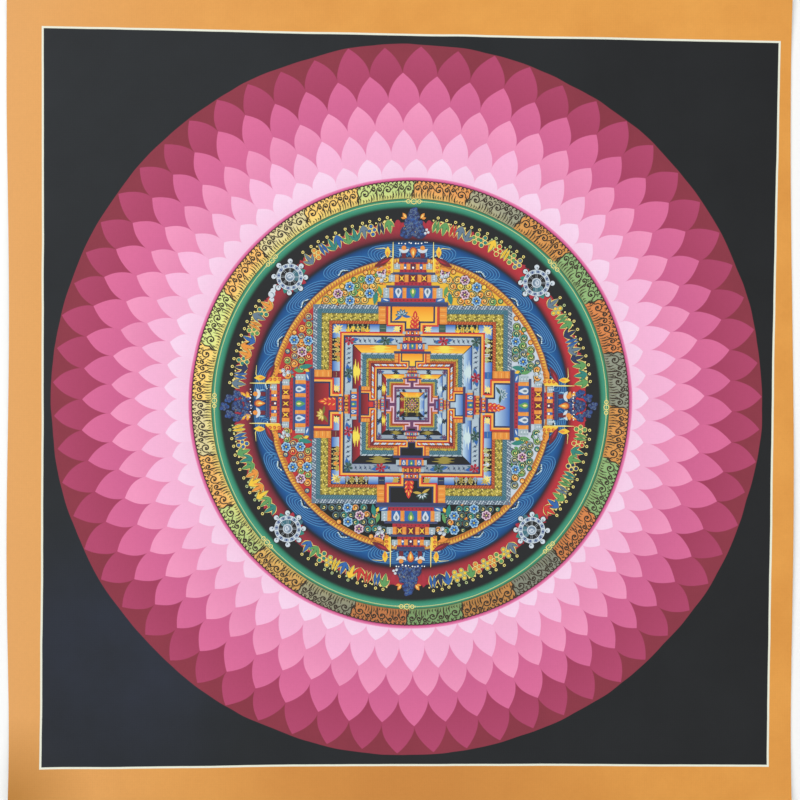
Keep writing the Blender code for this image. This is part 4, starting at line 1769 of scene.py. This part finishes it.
def make_nib(parts):
    """A flat nib 2 wide, of as many straight parts as a wide stroke needs to follow the cloth."""
    curve = bpy.data.curves.new("nib", "CURVE")
    curve.dimensions = "2D"
    edge = curve.splines.new("POLY")
    edge.points.add(parts)
    for k, point in enumerate(edge.points):
        point.co = (-1 + 2 * k / parts, 0.0, 0.0, 1.0)
    return put_in_scene("nib", curve)


def make_sweep(lines, nib):
    """A curve object that sweeps a nib along each line."""
    curve = bpy.data.curves.new("sweep", "CURVE")
    curve.dimensions = "3D"
    curve.twist_mode = "Z_UP"
    curve.bevel_mode = "OBJECT"
    curve.bevel_object = nib
    for spots, closed, height in lines:
        spline = curve.splines.new("POLY")
        spline.points.add(len(spots) - 1)
        spline.points.foreach_set("co", [c for point, _ in spots for c in (*point, height, 1.0)])
        spline.points.foreach_set("radius", [width / 2 for _, width in spots])
        spline.use_cyclic_u = closed
    return put_in_scene("sweep", curve)


nibs, coats = {}, {}
for order, (pigment, coat, spots, closed) in enumerate(strokes):
    parts = math.ceil(max(width for _, width in spots) / NIB_STRETCH)
    if parts not in nibs:
        nibs[parts] = make_nib(parts)
    height = order % HAIRS_IN_A_COAT * HAIR
    coats.setdefault((pigment, coat, parts), []).append((spots, closed, height))
sweeps = [
    (pigment, coat, make_sweep(lines, nibs[parts]))
    for (pigment, coat, parts), lines in coats.items()
]

films = {}
depsgraph = bpy.context.evaluated_depsgraph_get()
for pigment, coat, sweep in sweeps:
    ribbon = bpy.data.meshes.new_from_object(sweep.evaluated_get(depsgraph))
    ribbon.transform(Matrix.Translation((0.0, 0.0, coat * COAT_STEP)))
    films.setdefault(pigment, bmesh.new()).from_mesh(ribbon)

for helper in [sweep for _, _, sweep in sweeps] + list(nibs.values()):
    bpy.data.objects.remove(helper)
print("films swept:", len(films))

# %% Laying the films on the cloth
def lay_film(pigment, bm):
    """Sets a film on the cloth, with a bake map that just holds it."""
    for vert in bm.verts:
        vert.co.z += lift(vert.co.x, vert.co.y) + SHEET_THICKNESS + FILM_LIFT
    bmesh.ops.reverse_faces(bm, faces=[face for face in bm.faces if face.normal.z < 0])
    low = Vector((min(v.co.x for v in bm.verts), min(v.co.y for v in bm.verts)))
    high = Vector((max(v.co.x for v in bm.verts), max(v.co.y for v in bm.verts)))
    bake = bm.loops.layers.uv.new("OFBake")
    for face in bm.faces:
        face.smooth = True
        for loop in face.loops:
            place = loop.vert.co.to_2d() - low
            loop[bake].uv = (place.x / (high.x - low.x), place.y / (high.y - low.y))
    bmesh.ops.triangulate(bm, faces=bm.faces)
    bmesh.ops.scale(bm, verts=bm.verts, vec=(MM, MM, MM))
    film = make_piece("paint_" + pigment, bm)
    film.data.materials.append(film_material(pigment))
    return film


paint = [lay_film(pigment, bm) for pigment, bm in sorted(films.items())]
for film in paint:
    print(film.name, len(film.data.polygons))
print("triangles of paint:", sum(len(film.data.polygons) for film in paint))

# %% [markdown]
# ## The pieces on the model's body
# Every piece rides on the one body of the model.  The cloth stands for the CAD sheet, which is hidden.

# %% The pieces and their parts
for piece in [sheet, *paint]:
    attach(piece, "root")
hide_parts("painted_canvas")
